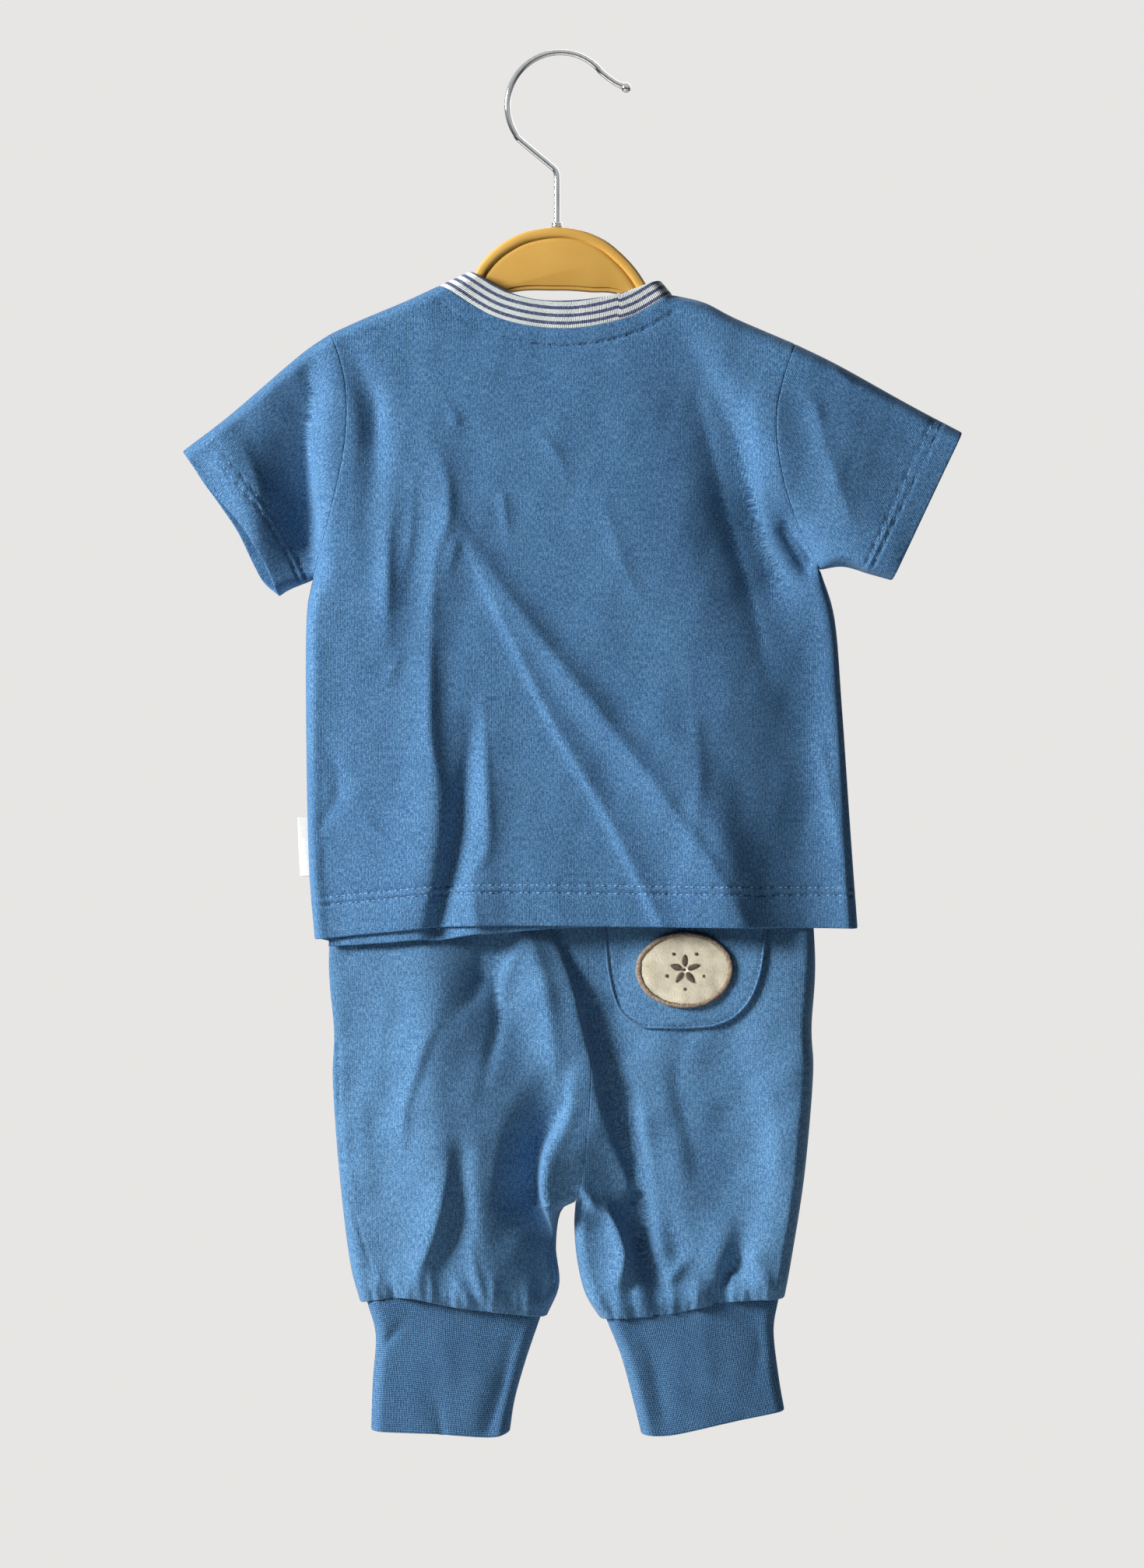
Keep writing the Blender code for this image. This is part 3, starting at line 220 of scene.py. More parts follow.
SHIRT_BACK_FOLDS = (
    Crease(((-46, -225), (-16, -267), (25, -319), (51, -350)), (0.6, 2.2, 3.0, 1.6), (9, 7)),
    Crease(((50, -322), (66, -351), (78, -384), (85, -416)), (1.4, 4.0, 5.6, 6.0), (23, 13)),
    Crease(((-40, -318), (-45, -355), (-56, -416)), (-0.8, -3.4, -3.4), (6, 7)),
    Crease(((-33, -304), (-34, -350), (-38, -416)), (0.4, 1.5, 1.6), (6, 9)),
    Crease(((-60, -272), (-61, -318), (-57, -372), (-62, -402)), (0.8, 2.6, 3.4, 1.6), (12, 6)),
    Crease(((-57, -180), (-53, -222), (-60, -288)), (0.6, 2.6, 0.6), (9, 8)),
    Crease(((-78, -212), (-80, -246), (-80, -284)), (0.4, 2.0, 0.4), (7, 6)),
    Crease(((-98, -142), (-89, -166), (-87, -192), (-90, -222)), (-1.4, -3.4, -2.2, -0.8), (7, 7)),
    Crease(((-110, -318), (-111, -352), (-108, -418)), (-2.0, -6.0, -7.4), (10, 30)),
    Crease(((56, -132), (70, -158), (82, -180), (88, -202), (93, -224), (100, -244)),
           (-1.0, -3.5, -5.5, -7.0, -8.0, -7.0), (26, 9)),
    Crease(((106, -232), (114, -256), (118, -310), (120, -360), (121, -418)),
           (-6.0, -9.6, -9.4, -8.0, -7.4), (28, 24)),
    Crease(((98, -166), (104, -190), (107, -214)), (1.4, 2.2, 1.0), (8, 10)),
    Crease(((-116, -150), (-119, -174), (-120, -196), (-119, -222), (-118, -244)),
           (-2.0, -6.4, -8.4, -8.6, -7.4), (16, 7)),
    Crease(((-168, -176), (-158, -190), (-149, -207), (-141, -228)), (2.2, 4.6, 4.6, 3.0), (9, 12)),
    Crease(((122, -156), (128, -184), (134, -206), (148, -238)), (1.2, 2.8, 3.4, 3.0), (17, 22)),
    Crease(((103, -214), (111, -229), (119, -242)), (-1.6, -4.6, -5.0), (6, 7)),
)
SHIRT_FRONT_FOLDS = (
    Crease(((38, -232), (20, -300), (-30, -414)), (1.0, 3.4, 3.6), (11.0, 9.0)),
    Crease(((70, -300), (64, -350), (72, -414)), (-0.6, -2.8, -2.6), (8.0, 8.0)),
    Crease(((-62, -190), (-70, -260), (-84, -372)), (-0.8, -2.8, -1.2), (12.0, 11.0)),
    Crease(((96, -180), (92, -222), (98, -270)), (0.6, 2.4, 0.6), (9.0, 8.0)),
)
TROUSER_BACK_FOLDS = (
    Crease(((-106, -410), (-106, -500), (-100, -560), (-94, -592)), (-5.0, -11.5, -10.0, -5.0), (10, 36)),
    Crease(((-56, -430), (-60, -480), (-58, -540), (-58, -580)), (2.0, 3.6, 3.4, 1.0), (17, 12)),
    Crease(((-33, -404), (-31, -425), (-26, -447), (-15, -466), (-9, -484), (-5, -503)),
           (-3.0, -6.6, -7.9, -7.2, -5.2, -3.4), (20, 20)),
    Crease(((2, -488), (1, -503), (-8, -521), (-10, -540), (-3, -558), (-2, -577), (-2, -590)),
           (-3.0, -8.0, -12.0, -13.0, -11.5, -10.0, -6.0), (16, 3.0)),
    Crease(((-20, -404), (-15, -427), (-9, -447), (-2, -466), (1, -484), (2, -503), (-3, -522)),
           (1.6, 2.4, 2.2, 2.2, 1.8, 1.2, 0.6), (10, 7)),
    Crease(((5, -404), (14, -430), (20, -447), (25, -466), (28, -484), (31, -503), (34, -525), (37, -546)),
           (-4.5, -8.0, -8.8, -9.0, -9.2, -9.2, -9.0, -8.0), (14, 22)),
    Crease(((37, -546), (38, -560), (42, -574), (52, -592)), (-6.0, -7.4, -5.4, -1.6), (5, 7)),
    Crease(((44, -404), (52, -440), (62, -480), (70, -530), (72, -590)),
           (-2.0, -3.6, -5.0, -5.4, -3.0), (34, 40)),
    Crease(((17, -504), (20, -530), (17, -552), (15, -575)), (-1.0, -3.0, -6.0, -5.0), (14, 16)),
    Crease(((43, -462), (49, -488), (55, -510), (58, -535), (55, -554)), (0.5, 1.4, 2.4, 2.6, 0.6), (12, 7)),
    Crease(((82, -468), (88, -500), (92, -530), (86, -560)), (-1.6, -4.2, -5.0, -2.0), (26, 12)),
    Crease(((108, -440), (110, -490), (107, -540), (102, -570)), (1.0, 2.0, 2.6, 2.0), (18, 9)),
    Crease(((-50, -516), (-57, -550), (-67, -590)), (0.8, 3.2, 1.8), (8, 6)),
    Crease(((-46, -522), (-50, -552), (-58, -582)), (-1.0, -3.2, -1.2), (5, 6)),
    Crease(((-40, -500), (-38, -535), (-33, -588)), (0.4, 2.4, 1.4), (6, 7)),
    Crease(((20, -542), (27, -554), (30, -566), (29, -586)), (0.8, 2.0, 2.6, 1.4), (6, 3)),
    Crease(((80, -552), (78, -566), (72, -588)), (0.6, 2.6, 1.0), (8, 5)),
    Crease(((88, -560), (84, -575), (76, -592)), (-1.4, -4.4, -1.8), (6, 7)),
)
TROUSER_FRONT_FOLDS = (
    Crease(((-20, -418), (-34, -480), (-50, -540)), (1.0, 4.2, 1.0), (10.0, 10.0)),
    Crease(((2, -430), (-6, -490), (-20, -560)), (-1.0, -5.0, -2.0), (9.0, 9.0)),
    Crease(((34, -430), (40, -500), (58, -580)), (-1.0, -4.6, -1.6), (9.0, 9.0)),
    Crease(((72, -440), (80, -500), (84, -566)), (1.0, 3.8, 1.0), (11.0, 11.0)),
    Crease(((-74, -470), (-78, -520), (-70, -580)), (1.0, 3.4, 1.2), (10.0, 9.0)),
)

SHIRT_BACK_CREASES = (
    Crease(((-95, -146), (-86, -166), (-86, -198)), (-0.2, -0.9, -0.2), (4.0, 3.0)),
    Crease(((-52, -166), (-48, -175)), (0.3, 0.7), (3.0, 2.0)),
    Crease(((-58, -188), (-52, -202), (-52, -223), (-58, -241), (-60, -285)),
           (0.2, 1.0, 0.8, 0.9, 0.2), (4.0, 2.2)),
    Crease(((-78, -218), (-80, -234), (-80, -278)), (0.2, 1.2, 0.3), (4.0, 1.8)),
    Crease(((-68, -202), (-70, -233), (-75, -259)), (0.2, 0.8, 0.2), (3.0, 2.0)),
    Crease(((-44, -231), (-31, -259), (-17, -288), (1, -324), (21, -358), (48, -412)),
           (0.3, 1.3, 1.6, 1.6, 1.6, 1.3), (1.9, 7.0)),
    Crease(((-47, -223), (-16, -267), (25, -319), (71, -381), (89, -412)),
           (0.3, 0.9, 0.8, 0.9, 0.6), (6.0, 2.2)),
    Crease(((-26, -211), (-23, -235)), (0.9, 0.2), (2.0, 2.0)),
    Crease(((-10, -179), (0, -191), (4, -200)), (0.3, 0.9, 0.2), (3.0, 2.2)),
    Crease(((-48, -233), (-52, -246)), (0.8, 0.2), (2.2, 2.0)),
    Crease(((-60, -277), (-60, -319), (-57, -339), (-54, -354)), (0.4, 1.3, 1.0, 0.2), (3.5, 1.7)),
    Crease(((-41, -321), (-46, -354), (-51, -381), (-58, -414)), (-0.4, -1.5, -1.4, -1.2), (2.5, 3.0)),
    Crease(((-35, -308), (-34, -339), (-33, -376), (-41, -391), (-38, -413)),
           (0.3, 1.0, 1.2, 0.8, 0.8), (3.0, 2.0)),
    Crease(((-73, -283), (-78, -293), (-81, -301)), (0.2, 0.8, 0.2), (2.4, 2.0)),
    Crease(((-108, -329), (-104, -350), (-115, -371)), (-0.3, -1.2, -0.4), (3.0, 3.0)),
    Crease(((-91, -363), (-77, -377)), (0.8, 0.3), (2.6, 2.0)),
    Crease(((-74, -371), (-61, -381)), (0.6, 0.3), (2.2, 2.0)),
    Crease(((66, -160), (80, -218), (93, -264), (98, -291)), (-0.3, -0.8, -1.0, -0.3), (5.0, 3.0)),
    Crease(((93, -171), (98, -212), (102, -233)), (0.3, 1.0, 0.3), (3.0, 3.0)),
    Crease(((125, -329), (134, -376)), (0.8, 0.6), (3.0, 3.0)),
    Crease(((62, -296), (67, -340), (63, -384)), (0.2, 0.7, 0.2), (4.0, 3.0)),
    Crease(((22, -212), (30, -240), (46, -270)), (0.2, 0.6, 0.2), (4.0, 3.0)),
    Crease(((-119, -170), (-118, -200), (-119, -232)), (-0.4, -1.4, -1.6), (4.0, 3.0)),
    Crease(((-117, -179), (-114, -211)), (1.0, 1.3), (2.5, 2.5)),
    Crease(((-119, -152), (-116, -163)), (-1.0, -1.0), (4.0, 4.0)),
    Crease(((-150, -184), (-143, -200), (-139, -214)), (0.3, 0.9, 0.3), (4.0, 3.0)),
    Crease(((108, -226), (117, -238)), (-1.4, -1.8), (4.0, 5.0)),
    Crease(((132, -150), (138, -156)), (0.7, 0.5), (2.5, 2.5)),
    Crease(((126, -186), (132, -204), (138, -220)), (0.3, 1.0, 0.4), (4.0, 5.0)),
    Crease(((116, -160), (122, -168), (125, -184)), (0.3, 0.9, 0.3), (4.0, 2.6)),
)
SHIRT_FRONT_CREASES = (
    Crease(((30, -236), (12, -300), (-36, -412)), (0.4, 1.3, 1.2), (6.0, 2.0)),
    Crease(((-20, -190), (-28, -226), (-22, -270)), (0.3, 1.0, 0.2), (2.2, 4.0)),
    Crease(((64, -206), (70, -250), (62, -296)), (0.3, 1.1, 0.3), (2.0, 4.0)),
    Crease(((-90, -230), (-86, -280), (-94, -330)), (0.2, 0.9, 0.3), (3.0, 2.2)),
    Crease(((92, -316), (96, -352), (90, -392)), (0.3, 1.1, 0.5), (3.0, 2.2)),
    Crease(((-126, -170), (-121, -200), (-119, -232)), (-0.8, -2.6, -2.2), (6.0, 5.0)),
    Crease(((128, -160), (124, -196), (128, -228)), (-0.6, -2.2, -1.8), (6.0, 6.0)),
)
TROUSER_BACK_CREASES = (
    Crease(((-56, -457), (-63, -471), (-67, -484), (-72, -500), (-73, -522)),
           (0.3, 1.6, 1.8, 1.4, 0.3), (4.0, 1.9)),
    Crease(((-33, -418), (-37, -441), (-47, -454)), (-1.2, -1.4, -0.3), (3.0, 3.0)),
    Crease(((-32, -420), (-31, -437), (-28, -457), (-33, -480), (-36, -495)),
           (-0.8, -1.2, -1.5, -1.2, -0.2), (3.0, 3.0)),
    Crease(((-17, -418), (-24, -437), (-27, -455)), (1.2, 1.2, 0.3), (2.2, 3.0)),
    Crease(((-14, -417), (-6, -440), (-3, -467), (0, -488), (1, -505)),
           (0.8, 1.4, 1.3, 0.9, 0.4), (4.0, 3.4)),
    Crease(((-4, -416), (4, -436), (12, -468), (19, -500), (31, -530), (34, -545)),
           (1.0, 1.8, 2.2, 2.6, 2.8, 1.0), (8.0, 1.8), 1.6),
    Crease(((3, -503), (-2.5, -514), (-5, -524), (-5.5, -542), (-1, -556), (0.5, -570), (0.5, -584)),
           (1.6, 2.6, 3.0, 3.0, 2.6, 1.6, 0.6), (1.8, 5.5), -2.0),
    Crease(((-51, -521), (-56, -551), (-66, -577), (-67, -589)), (0.4, 1.7, 1.7, 1.0), (4.0, 1.9), 0.8),
    Crease(((-41, -560), (-39, -575), (-33, -593)), (0.3, 1.4, 1.2), (2.5, 1.8)),
    Crease(((-46, -583), (-40, -592)), (1.0, 1.2), (1.8, 1.8)),
    Crease(((30, -462), (37, -492), (44, -518), (46, -545), (50, -575), (59, -592)),
           (0.3, 0.9, 1.2, 1.0, 1.0, 0.4), (3.0, 7.0)),
    Crease(((12, -538), (17, -546), (23, -549), (27, -557), (31, -568), (29, -579), (24, -585)),
           (1.4, 3.0, 3.2, 3.0, 3.0, 2.4, 0.8), (2.3, 2.6), 0.9),
    Crease(((61, -467), (56, -488), (61, -509), (65, -526)), (-0.4, -1.2, -1.2, -0.4), (6.0, 5.0)),
    Crease(((40, -490), (41, -509), (44, -528)), (0.6, 1.6, 0.6), (4.0, 5.0)),
    Crease(((54, -556), (56, -568)), (-2.4, -2.0), (8.0, 7.0)),
    Crease(((63, -569), (57, -576), (51, -582)), (0.5, 1.6, 1.2), (2.4, 2.0)),
    Crease(((86, -571), (80, -580), (75, -589)), (-1.0, -1.8, -1.2), (3.0, 3.0)),
    Crease(((93, -570), (96, -580)), (1.6, 1.4), (4.0, 4.0)),
    Crease(((-90, -470), (-92, -510), (-88, -548)), (0.3, 0.9, 0.3), (5.0, 4.0)),
    Crease(((-78, -440), (-84, -470), (-86, -500)), (0.2, 0.8, 0.2), (4.0, 3.0)),
    Crease(((98, -480), (104, -520), (100, -556)), (0.2, 0.9, 0.3), (5.0, 4.0)),
    Crease(((-24, -505), (-30, -530), (-28, -556)), (0.4, 1.4, 0.4), (4.0, 3.0)),
)
TROUSER_FRONT_CREASES = (
    Crease(((-24, -424), (-38, -480), (-54, -540)), (0.6, 1.8, 0.6), (2.4, 5.0)),
    Crease(((6, -440), (0, -490), (-12, -560)), (-0.8, -2.0, -1.0), (3.0, 3.0)),
    Crease(((40, -440), (46, -500), (62, -578)), (-0.8, -1.8, -0.8), (3.0, 3.0)),
    Crease(((76, -450), (84, -506), (86, -560)), (0.5, 1.5, 0.6), (5.0, 2.4)),
    Crease(((-70, -540), (-64, -566), (-68, -586)), (0.5, 1.6, 1.0), (3.0, 2.2)),
)
CUFF_CREASES = (
    Crease(((-85, -615), (-79, -608), (-74, -602)), (-0.8, -1.8, -0.8), (2.6, 2.8)),
    Crease(((-22, -612), (-27, -634), (-33, -652)), (-1.2, -2.6, -1.6), (5.0, 4.0)),
    Crease(((-57, -640), (-55, -653)), (-0.5, -1.3), (3.0, 2.6)),
    Crease(((-60, -600), (-52, -622), (-54, -640)), (0.3, 0.8, 0.3), (8.0, 6.0)),
    Crease(((40, -606), (46, -626), (50, -648)), (-0.6, -1.6, -0.8), (5.0, 5.0)),
    Crease(((92, -600), (96, -612), (94, -628)), (-0.4, -1.2, -0.4), (4.0, 4.0)),
    Crease(((68, -602), (72, -622), (70, -646)), (0.3, 0.9, 0.3), (7.0, 7.0)),
)

SHIRT_RELIEF = {
    BACK: (SHIRT_BACK_FOLDS, SHIRT_BACK_CREASES),
    FRONT: (SHIRT_FRONT_FOLDS, SHIRT_FRONT_CREASES),
}
TROUSER_RELIEF = {
    BACK: (TROUSER_BACK_FOLDS, TROUSER_BACK_CREASES),
    FRONT: (TROUSER_FRONT_FOLDS, TROUSER_FRONT_CREASES),
}

# The cloth's gentle roll: length of the waves, height, and the draw's seed
SHIRT_WAVES = ((34.0, 0.32, 3), (13.0, 0.10, 4))
TROUSER_WAVES = ((30.0, 0.35, 5), (12.0, 0.10, 6))
CUFF_WAVES = ((22.0, 0.22, 7),)
FELT_WAVES = ((9.0, 0.15, 12),)
WAVE_COUNT = 14

# Gathers above each cuff: the share along the seam, the length, height and slant
Gather = namedtuple("Gather", "share length height slant")
GATHERS = tuple(Gather(*row) for row in (
    (0.05, 9, 1.0, 0.5), (0.10, 16, 1.3, -1.0), (0.15, 11, 1.6, 1.0), (0.205, 19, 1.2, -0.5),
    (0.26, 9, 1.0, 0.0), (0.33, 14, 1.4, 1.5), (0.39, 21, 1.2, -1.0), (0.46, 10, 1.3, 0.5),
    (0.52, 17, 1.5, 2.0), (0.58, 9, 1.1, -0.5), (0.65, 15, 1.2, -2.0), (0.72, 22, 1.4, 1.0),
    (0.78, 10, 1.3, -1.0), (0.84, 13, 1.5, 0.5), (0.90, 18, 1.1, -1.5), (0.95, 9, 0.9, 0.0),
))
GATHER_WIDTH = 1.9
GATHER_COUNT = 7
GATHER_RISE = 0.8
GATHER_LENGTH = 13.0
CUFF_PUFF = 2.2
CUFF_PUFF_PLACE = 7.0
CUFF_PUFF_WIDTH = 6.0

# Sewing: distances from the edge, stitch length, pitch and thread
NECK_STITCH = 7.8
HEM_ROWS = (15.6, 19.2)
SLEEVE_HEM_ROWS = (11.6, 14.8)
POCKET_STITCH = 1.9
HEM_RISE = 0.5
HEM_STEP = 1.5
STITCH = 1.9
STITCH_PITCH = 2.8
STITCH_POINTS = 5
STITCH_ARCH = 0.22
THREAD = 0.36
THREAD_SIDES = 5

# Seams pull the cloth in: the groove's depth and width
HEM_GROOVE = (0.9, 0.65)
NECK_GROOVE = (0.62, 0.75)
SIDE_SEAM_GROOVE = (0.8, 0.7)
SIDE_SEAM_INSET = 2.6
LEG_SEAM_GROOVE = (0.6, 0.7)
PULL_SHARE = 0.35
PULL_LENGTH = 7.3

# Shares of the shirt's edges: the neck along the top, the armpit down the sides
NECK_START, NECK_END = 0.25, 0.75
ARMPIT = 0.4
BODY_WIDTH = 250.0
BODY_LENGTH = 295.0

# Sleeves: edges from the armhole on, hems of the two layers, the hem's inner side and the wales' turn
SLEEVE_AROUND = 125.0
SLEEVE_DOWN = 88.0
SLEEVES = (
    ("left", (ARMHOLE_LEFT, SLEEVE_TOP_LEFT, UNDERARM_LEFT),
     (SLEEVE_HEM_LEFT_BACK, SLEEVE_HEM_LEFT_FRONT), 1, radians(-37)),
    ("right", (ARMHOLE_RIGHT, SLEEVE_TOP_RIGHT, UNDERARM_RIGHT),
     (SLEEVE_HEM_RIGHT, SLEEVE_HEM_RIGHT), -1, radians(26)),
)

# Sleeves and neckband start this far off their seam
OFF_SEAM = 0.12

# Neckband stripes
STRIPE_PERIOD = 3.6
STRIPE_SHARE = 0.43
STRIPE_START = 2.55
BAND_JOIN = 28.9
BAND_JOIN_SHIFT = 1.0

# Hook and hanger
WIRE = 2.8
HOOK_CENTRE = (1.1, -23.8)
HOOK_RADIUS = 25.2
HOOK_SLOPE_ANGLE = 222.0
HOOK_END_ANGLE = 38.0
HOOK_STEM_X = -0.5
HOOK_STEM_TOP = -57.5
HOOK_STEM_FOOT = -95.0
HOOK_BEND = ((-1.0, -55.3), (-2.5, -53.3))
HOOK_LIP = ((24.2, -10.9), (27.6, -13.2))
HOOK_TIP = (32.4, -15.4)
HOOK_BALL = 4.6
DOME = (
    (-40.6, -106.2), (-37.4, -100.2), (-31.1, -93.2), (-22.2, -87.2), (-13.3, -83.8), (-0.7, -82.1),
    (11.8, -83.8), (22.6, -88.4), (31.4, -95.6), (37.6, -102.6), (42.4, -110.0),
)
ARM_LEFT_X = (-97.0, -88.2, -79.5, -70.7, -62.0, -53.2, -44.5)
ARM_RIGHT_X = (50.0, 53.0, 56.5, 63.0, 75.0, 88.0, 101.0)
ARM_TIP = ((2.6, 4.5), (2.6, 9.0))
ARM_SLANT = 1.5
ARM_HEIGHT = 14.5
ARM_CLEARANCE = 2.9
BAND_CLEARANCE = 3.4
DOME_FOOT = ((31.0, -114.5), (15.0, -112.3), (-1.0, -111.5), (-24.0, -113.0))
HANGER_HALF = 4.6

# The hanger's section, from its edge inwards: width of each step and its rise
HANGER_STEPS = (
    (0.35, 0.75), (0.45, 0.42), (0.6, 0.2), (1.2, 0.08), (1.5, -0.05), (0.35, -0.3), (0.25, -0.75),
    (0.3, -0.3), (0.35, 0.3), (0.4, 0.3), (1.2, 0.12),
)
PLAIN_STEP_SHARE = 0.3
SHARPEST_CORNER = 0.6

# The cuts: flat sizes, the share of that rectangle which the cut fills, and what holds it
Cut = namedtuple("Cut", "width length share held rests_on carries", defaults=((),))

# Hints of light in the knit's fuzz, the camera's wall, the sky's reflection and the lamps
COOL_SHEEN = (0.62, 0.78, 1.0, 1.0)
WALL_COLOUR = (231, 230, 228)
SKY = ((0.30, (0.10, 0.11, 0.13, 1)), (0.75, (0.85, 0.86, 0.88, 1)))
AMBIENT = 0.045
REFLECTED = 0.75
LIT_PLACE = (0.0, 0.0, -0.36)
Lamp = namedtuple("Lamp", "name place size power colour")
LAMPS = (
    Lamp("key", (-2.62, -1.1, 0.68), 0.85, 165.0, (1.0, 0.985, 0.96)),
    Lamp("fill", (1.4, -2.4, 0.6), 1.8, 1.0, (0.93, 0.96, 1.0)),
    Lamp("back", (0.6, 2.0, 0.9), 1.6, 26.0, (1.0, 1.0, 1.0)),
)
FLOOR_RADIUS = 1.5
FLOOR_HEIGHT = -1.15

# The photograph's frame
FRAME_HEIGHT = 745.2
VIEW_CENTRE = (6.66, -346.3)
VIEW_DISTANCE = 2000.0


def smooth_path(points, count=120):
    """A smooth curve through the given points, sampled evenly by length."""
    given = np.array(points, float)
    if len(given) == 2:
        return given[0] + np.linspace(0, 1, count)[:, None] * (given[1] - given[0])
    framed = np.vstack([2 * given[0] - given[1], given, 2 * given[-1] - given[-2]])
    t = np.linspace(0, 1, 24, endpoint=False)[:, None]
    runs = []
    for before, start, end, after in zip(framed, framed[1:], framed[2:], framed[3:]):
        runs.append(0.5 * (2 * start + (end - before) * t
                           + (2 * before - 5 * start + 4 * end - after) * t ** 2
                           + (3 * start - before - 3 * end + after) * t ** 3))
    dense = np.vstack(runs + [given[-1:]])
    return along(dense, np.linspace(0, 1, count))


def along(path, shares):
    """Places at the given shares of a path's length."""
    steps = np.linalg.norm(np.diff(path, axis=0), axis=1)
    length = np.concatenate([[0], np.cumsum(steps)]) / steps.sum()
    return np.stack([np.interp(shares, length, path[:, axis]) for axis in range(path.shape[1])], axis=-1)


def path_length(path):
    return np.linalg.norm(np.diff(path, axis=0), axis=1).sum()


def joined(*pieces):
    """An edge made of paths, each ending at its own share: (path, share)."""
    def edge(shares):
        shares = np.asarray(shares, float)
        places = np.zeros(shares.shape + (2,))
        start = 0.0
        for path, end in pieces:
            inside = (shares >= start - 1e-9) & (shares <= end + 1e-9)
            places[inside] = along(path, (shares[inside] - start) / (end - start))
            start = end
        return places
    return edge


def plain_edge(points):
    return joined((smooth_path(points), 1.0))


def coons(left, right, top, bottom, columns, rows):
    """Places over a patch with four edges: an array of rows by columns by (x, z)."""
    u = np.asarray(columns)[None, :, None]
    v = np.asarray(rows)[:, None, None]
    corners = ((1 - u) * (1 - v) * left([0.0])[0] + u * (1 - v) * right([0.0])[0]
               + (1 - u) * v * left([1.0])[0] + u * v * right([1.0])[0])
    sides = (1 - u) * left(rows)[:, None, :] + u * right(rows)[:, None, :]
    ends = (1 - v) * top(columns)[None, :, :] + v * bottom(columns)[None, :, :]
    return sides + ends - corners


def spaced(length, cell, first, last, lines=()):
    """Shares of a length: fine at its two ends and at each line, even in between."""
    marks = [np.array(first), length - np.array(last)]
    marks += [line + np.array(AT_LINE) for line in lines]
    marks = np.unique(np.concatenate(marks).round(4))
    kept = [0.0]
    for mark in marks[1:]:
        gap = mark - kept[-1]
        if gap < 0.05:
            continue
        count = int(np.ceil(gap / cell))
        kept += [kept[-1] + gap * (step + 1) / count for step in range(count)]
    kept[-1] = length
    return np.array(kept) / length


def distance_to(places, path):
    """Distance of each place to a path, the share of it, and the side, from -1 to 1."""
    start = path[:-1]
    step = path[1:] - start
    offset = places[..., None, :] - start
    share = np.clip((offset * step).sum(-1) / (step ** 2).sum(-1), 0, 1)
    away = offset - share[..., None] * step
    gap = np.linalg.norm(away, axis=-1)
    nearest = gap.argmin(-1)[..., None]
    cross = step[:, 0] * away[..., 1] - step[:, 1] * away[..., 0]
    turned = cross / (np.linalg.norm(step, axis=1) * np.maximum(gap, 1e-9))
    side = np.take_along_axis(turned, nearest, -1)[..., 0]
    reach = (nearest[..., 0] + np.take_along_axis(share, nearest, -1)[..., 0]) / len(step)
    return np.take_along_axis(gap, nearest, -1)[..., 0], reach, side


def close_to(places, path, reach):
    inside = (places > path.min(0) - reach) & (places < path.max(0) + reach)
    return inside.all(-1)


def gap_to(places, paths, reach):
    """Distance to the nearest of the paths, but no more than the reach."""
    gap = np.full(places.shape[:-1], float(reach))
    for path in paths:
        near = close_to(places, path, reach)
        if near.any():
            gap[near] = np.minimum(gap[near], distance_to(places[near], path)[0])
    return gap


def quarter_round(share):
    return np.sqrt(1 - (1 - np.clip(share, 0, 1)) ** 2)


def edge_rise(places, closed_edges, depth):
    """0 on a closed edge, rising in a quarter ellipse to 1 where the cloth lies flat."""
    turn = np.clip(EDGE_TURN_SHARE * depth, EDGE_TURN_LEAST, EDGE_TURN)
    return quarter_round(gap_to(places, closed_edges, EDGE_TURN + 1) / turn)


def relief(places, creases, shape):
    """The height and the sideways shift that creases give at each place."""
    height = np.zeros(places.shape[:-1])
    shift = np.zeros_like(height)
    for crease in creases:
        path = smooth_path(crease.points, 12 * (len(crease.points) - 1) + 1)
        near = close_to(places, path, REACH_IN_WIDTHS * max(crease.widths))
        if not near.any():
            continue
        gap, share, side = distance_to(places[near], path)
        before, beyond = crease.widths
        width = before + (beyond - before) * (side + 1) / 2
        profile = np.exp(-(gap / width) ** shape)
        stations = np.linspace(0, 1, len(crease.heights))
        height[near] += profile * np.interp(share, stations, crease.heights)
        shift[near] += profile * crease.lean * np.sin(pi * np.clip(share, 0.02, 0.98)) ** 0.5
    return height, shift


def unevenness(places, waves):
    """A gentle random roll of the cloth, made of a few long waves."""
    total = np.zeros(places.shape[:-1])
    for size, amount, seed in waves:
        rng = np.random.default_rng(seed)
        for _ in range(WAVE_COUNT):
            turn, phase = rng.uniform(0, 2 * pi, 2)
            length = size * rng.uniform(0.6, 1.8)
            across = places[..., 0] * cos(turn) + places[..., 1] * sin(turn)
            total += amount / WAVE_COUNT ** 0.5 * np.sin(2 * pi * across / length + phase)
    return total


def by_height(table, places):
    heights, depths = np.array(sorted(table)).T
    return np.interp(places[..., 1], heights, depths)


def closed_paths(*edges):
    return [smooth_path(points, 60) for points in edges]


SHIRT_CLOSED = closed_paths(
    SHOULDER_LEFT, SHOULDER_RIGHT, BAND_FOLD_LEFT, BAND_FOLD_RIGHT, SLEEVE_TOP_LEFT, SLEEVE_TOP_RIGHT,
    UNDERARM_LEFT, UNDERARM_RIGHT, SHIRT_SIDE_LEFT, SHIRT_SIDE_RIGHT)
TROUSER_CLOSED = closed_paths(TROUSER_SIDE_LEFT, TROUSER_SIDE_RIGHT, INSEAM_LEFT, INSEAM_RIGHT)
CUFF_CLOSED = closed_paths(CUFF_LEFT_OUTER, CUFF_LEFT_INNER, CUFF_RIGHT_INNER, CUFF_RIGHT_OUTER)


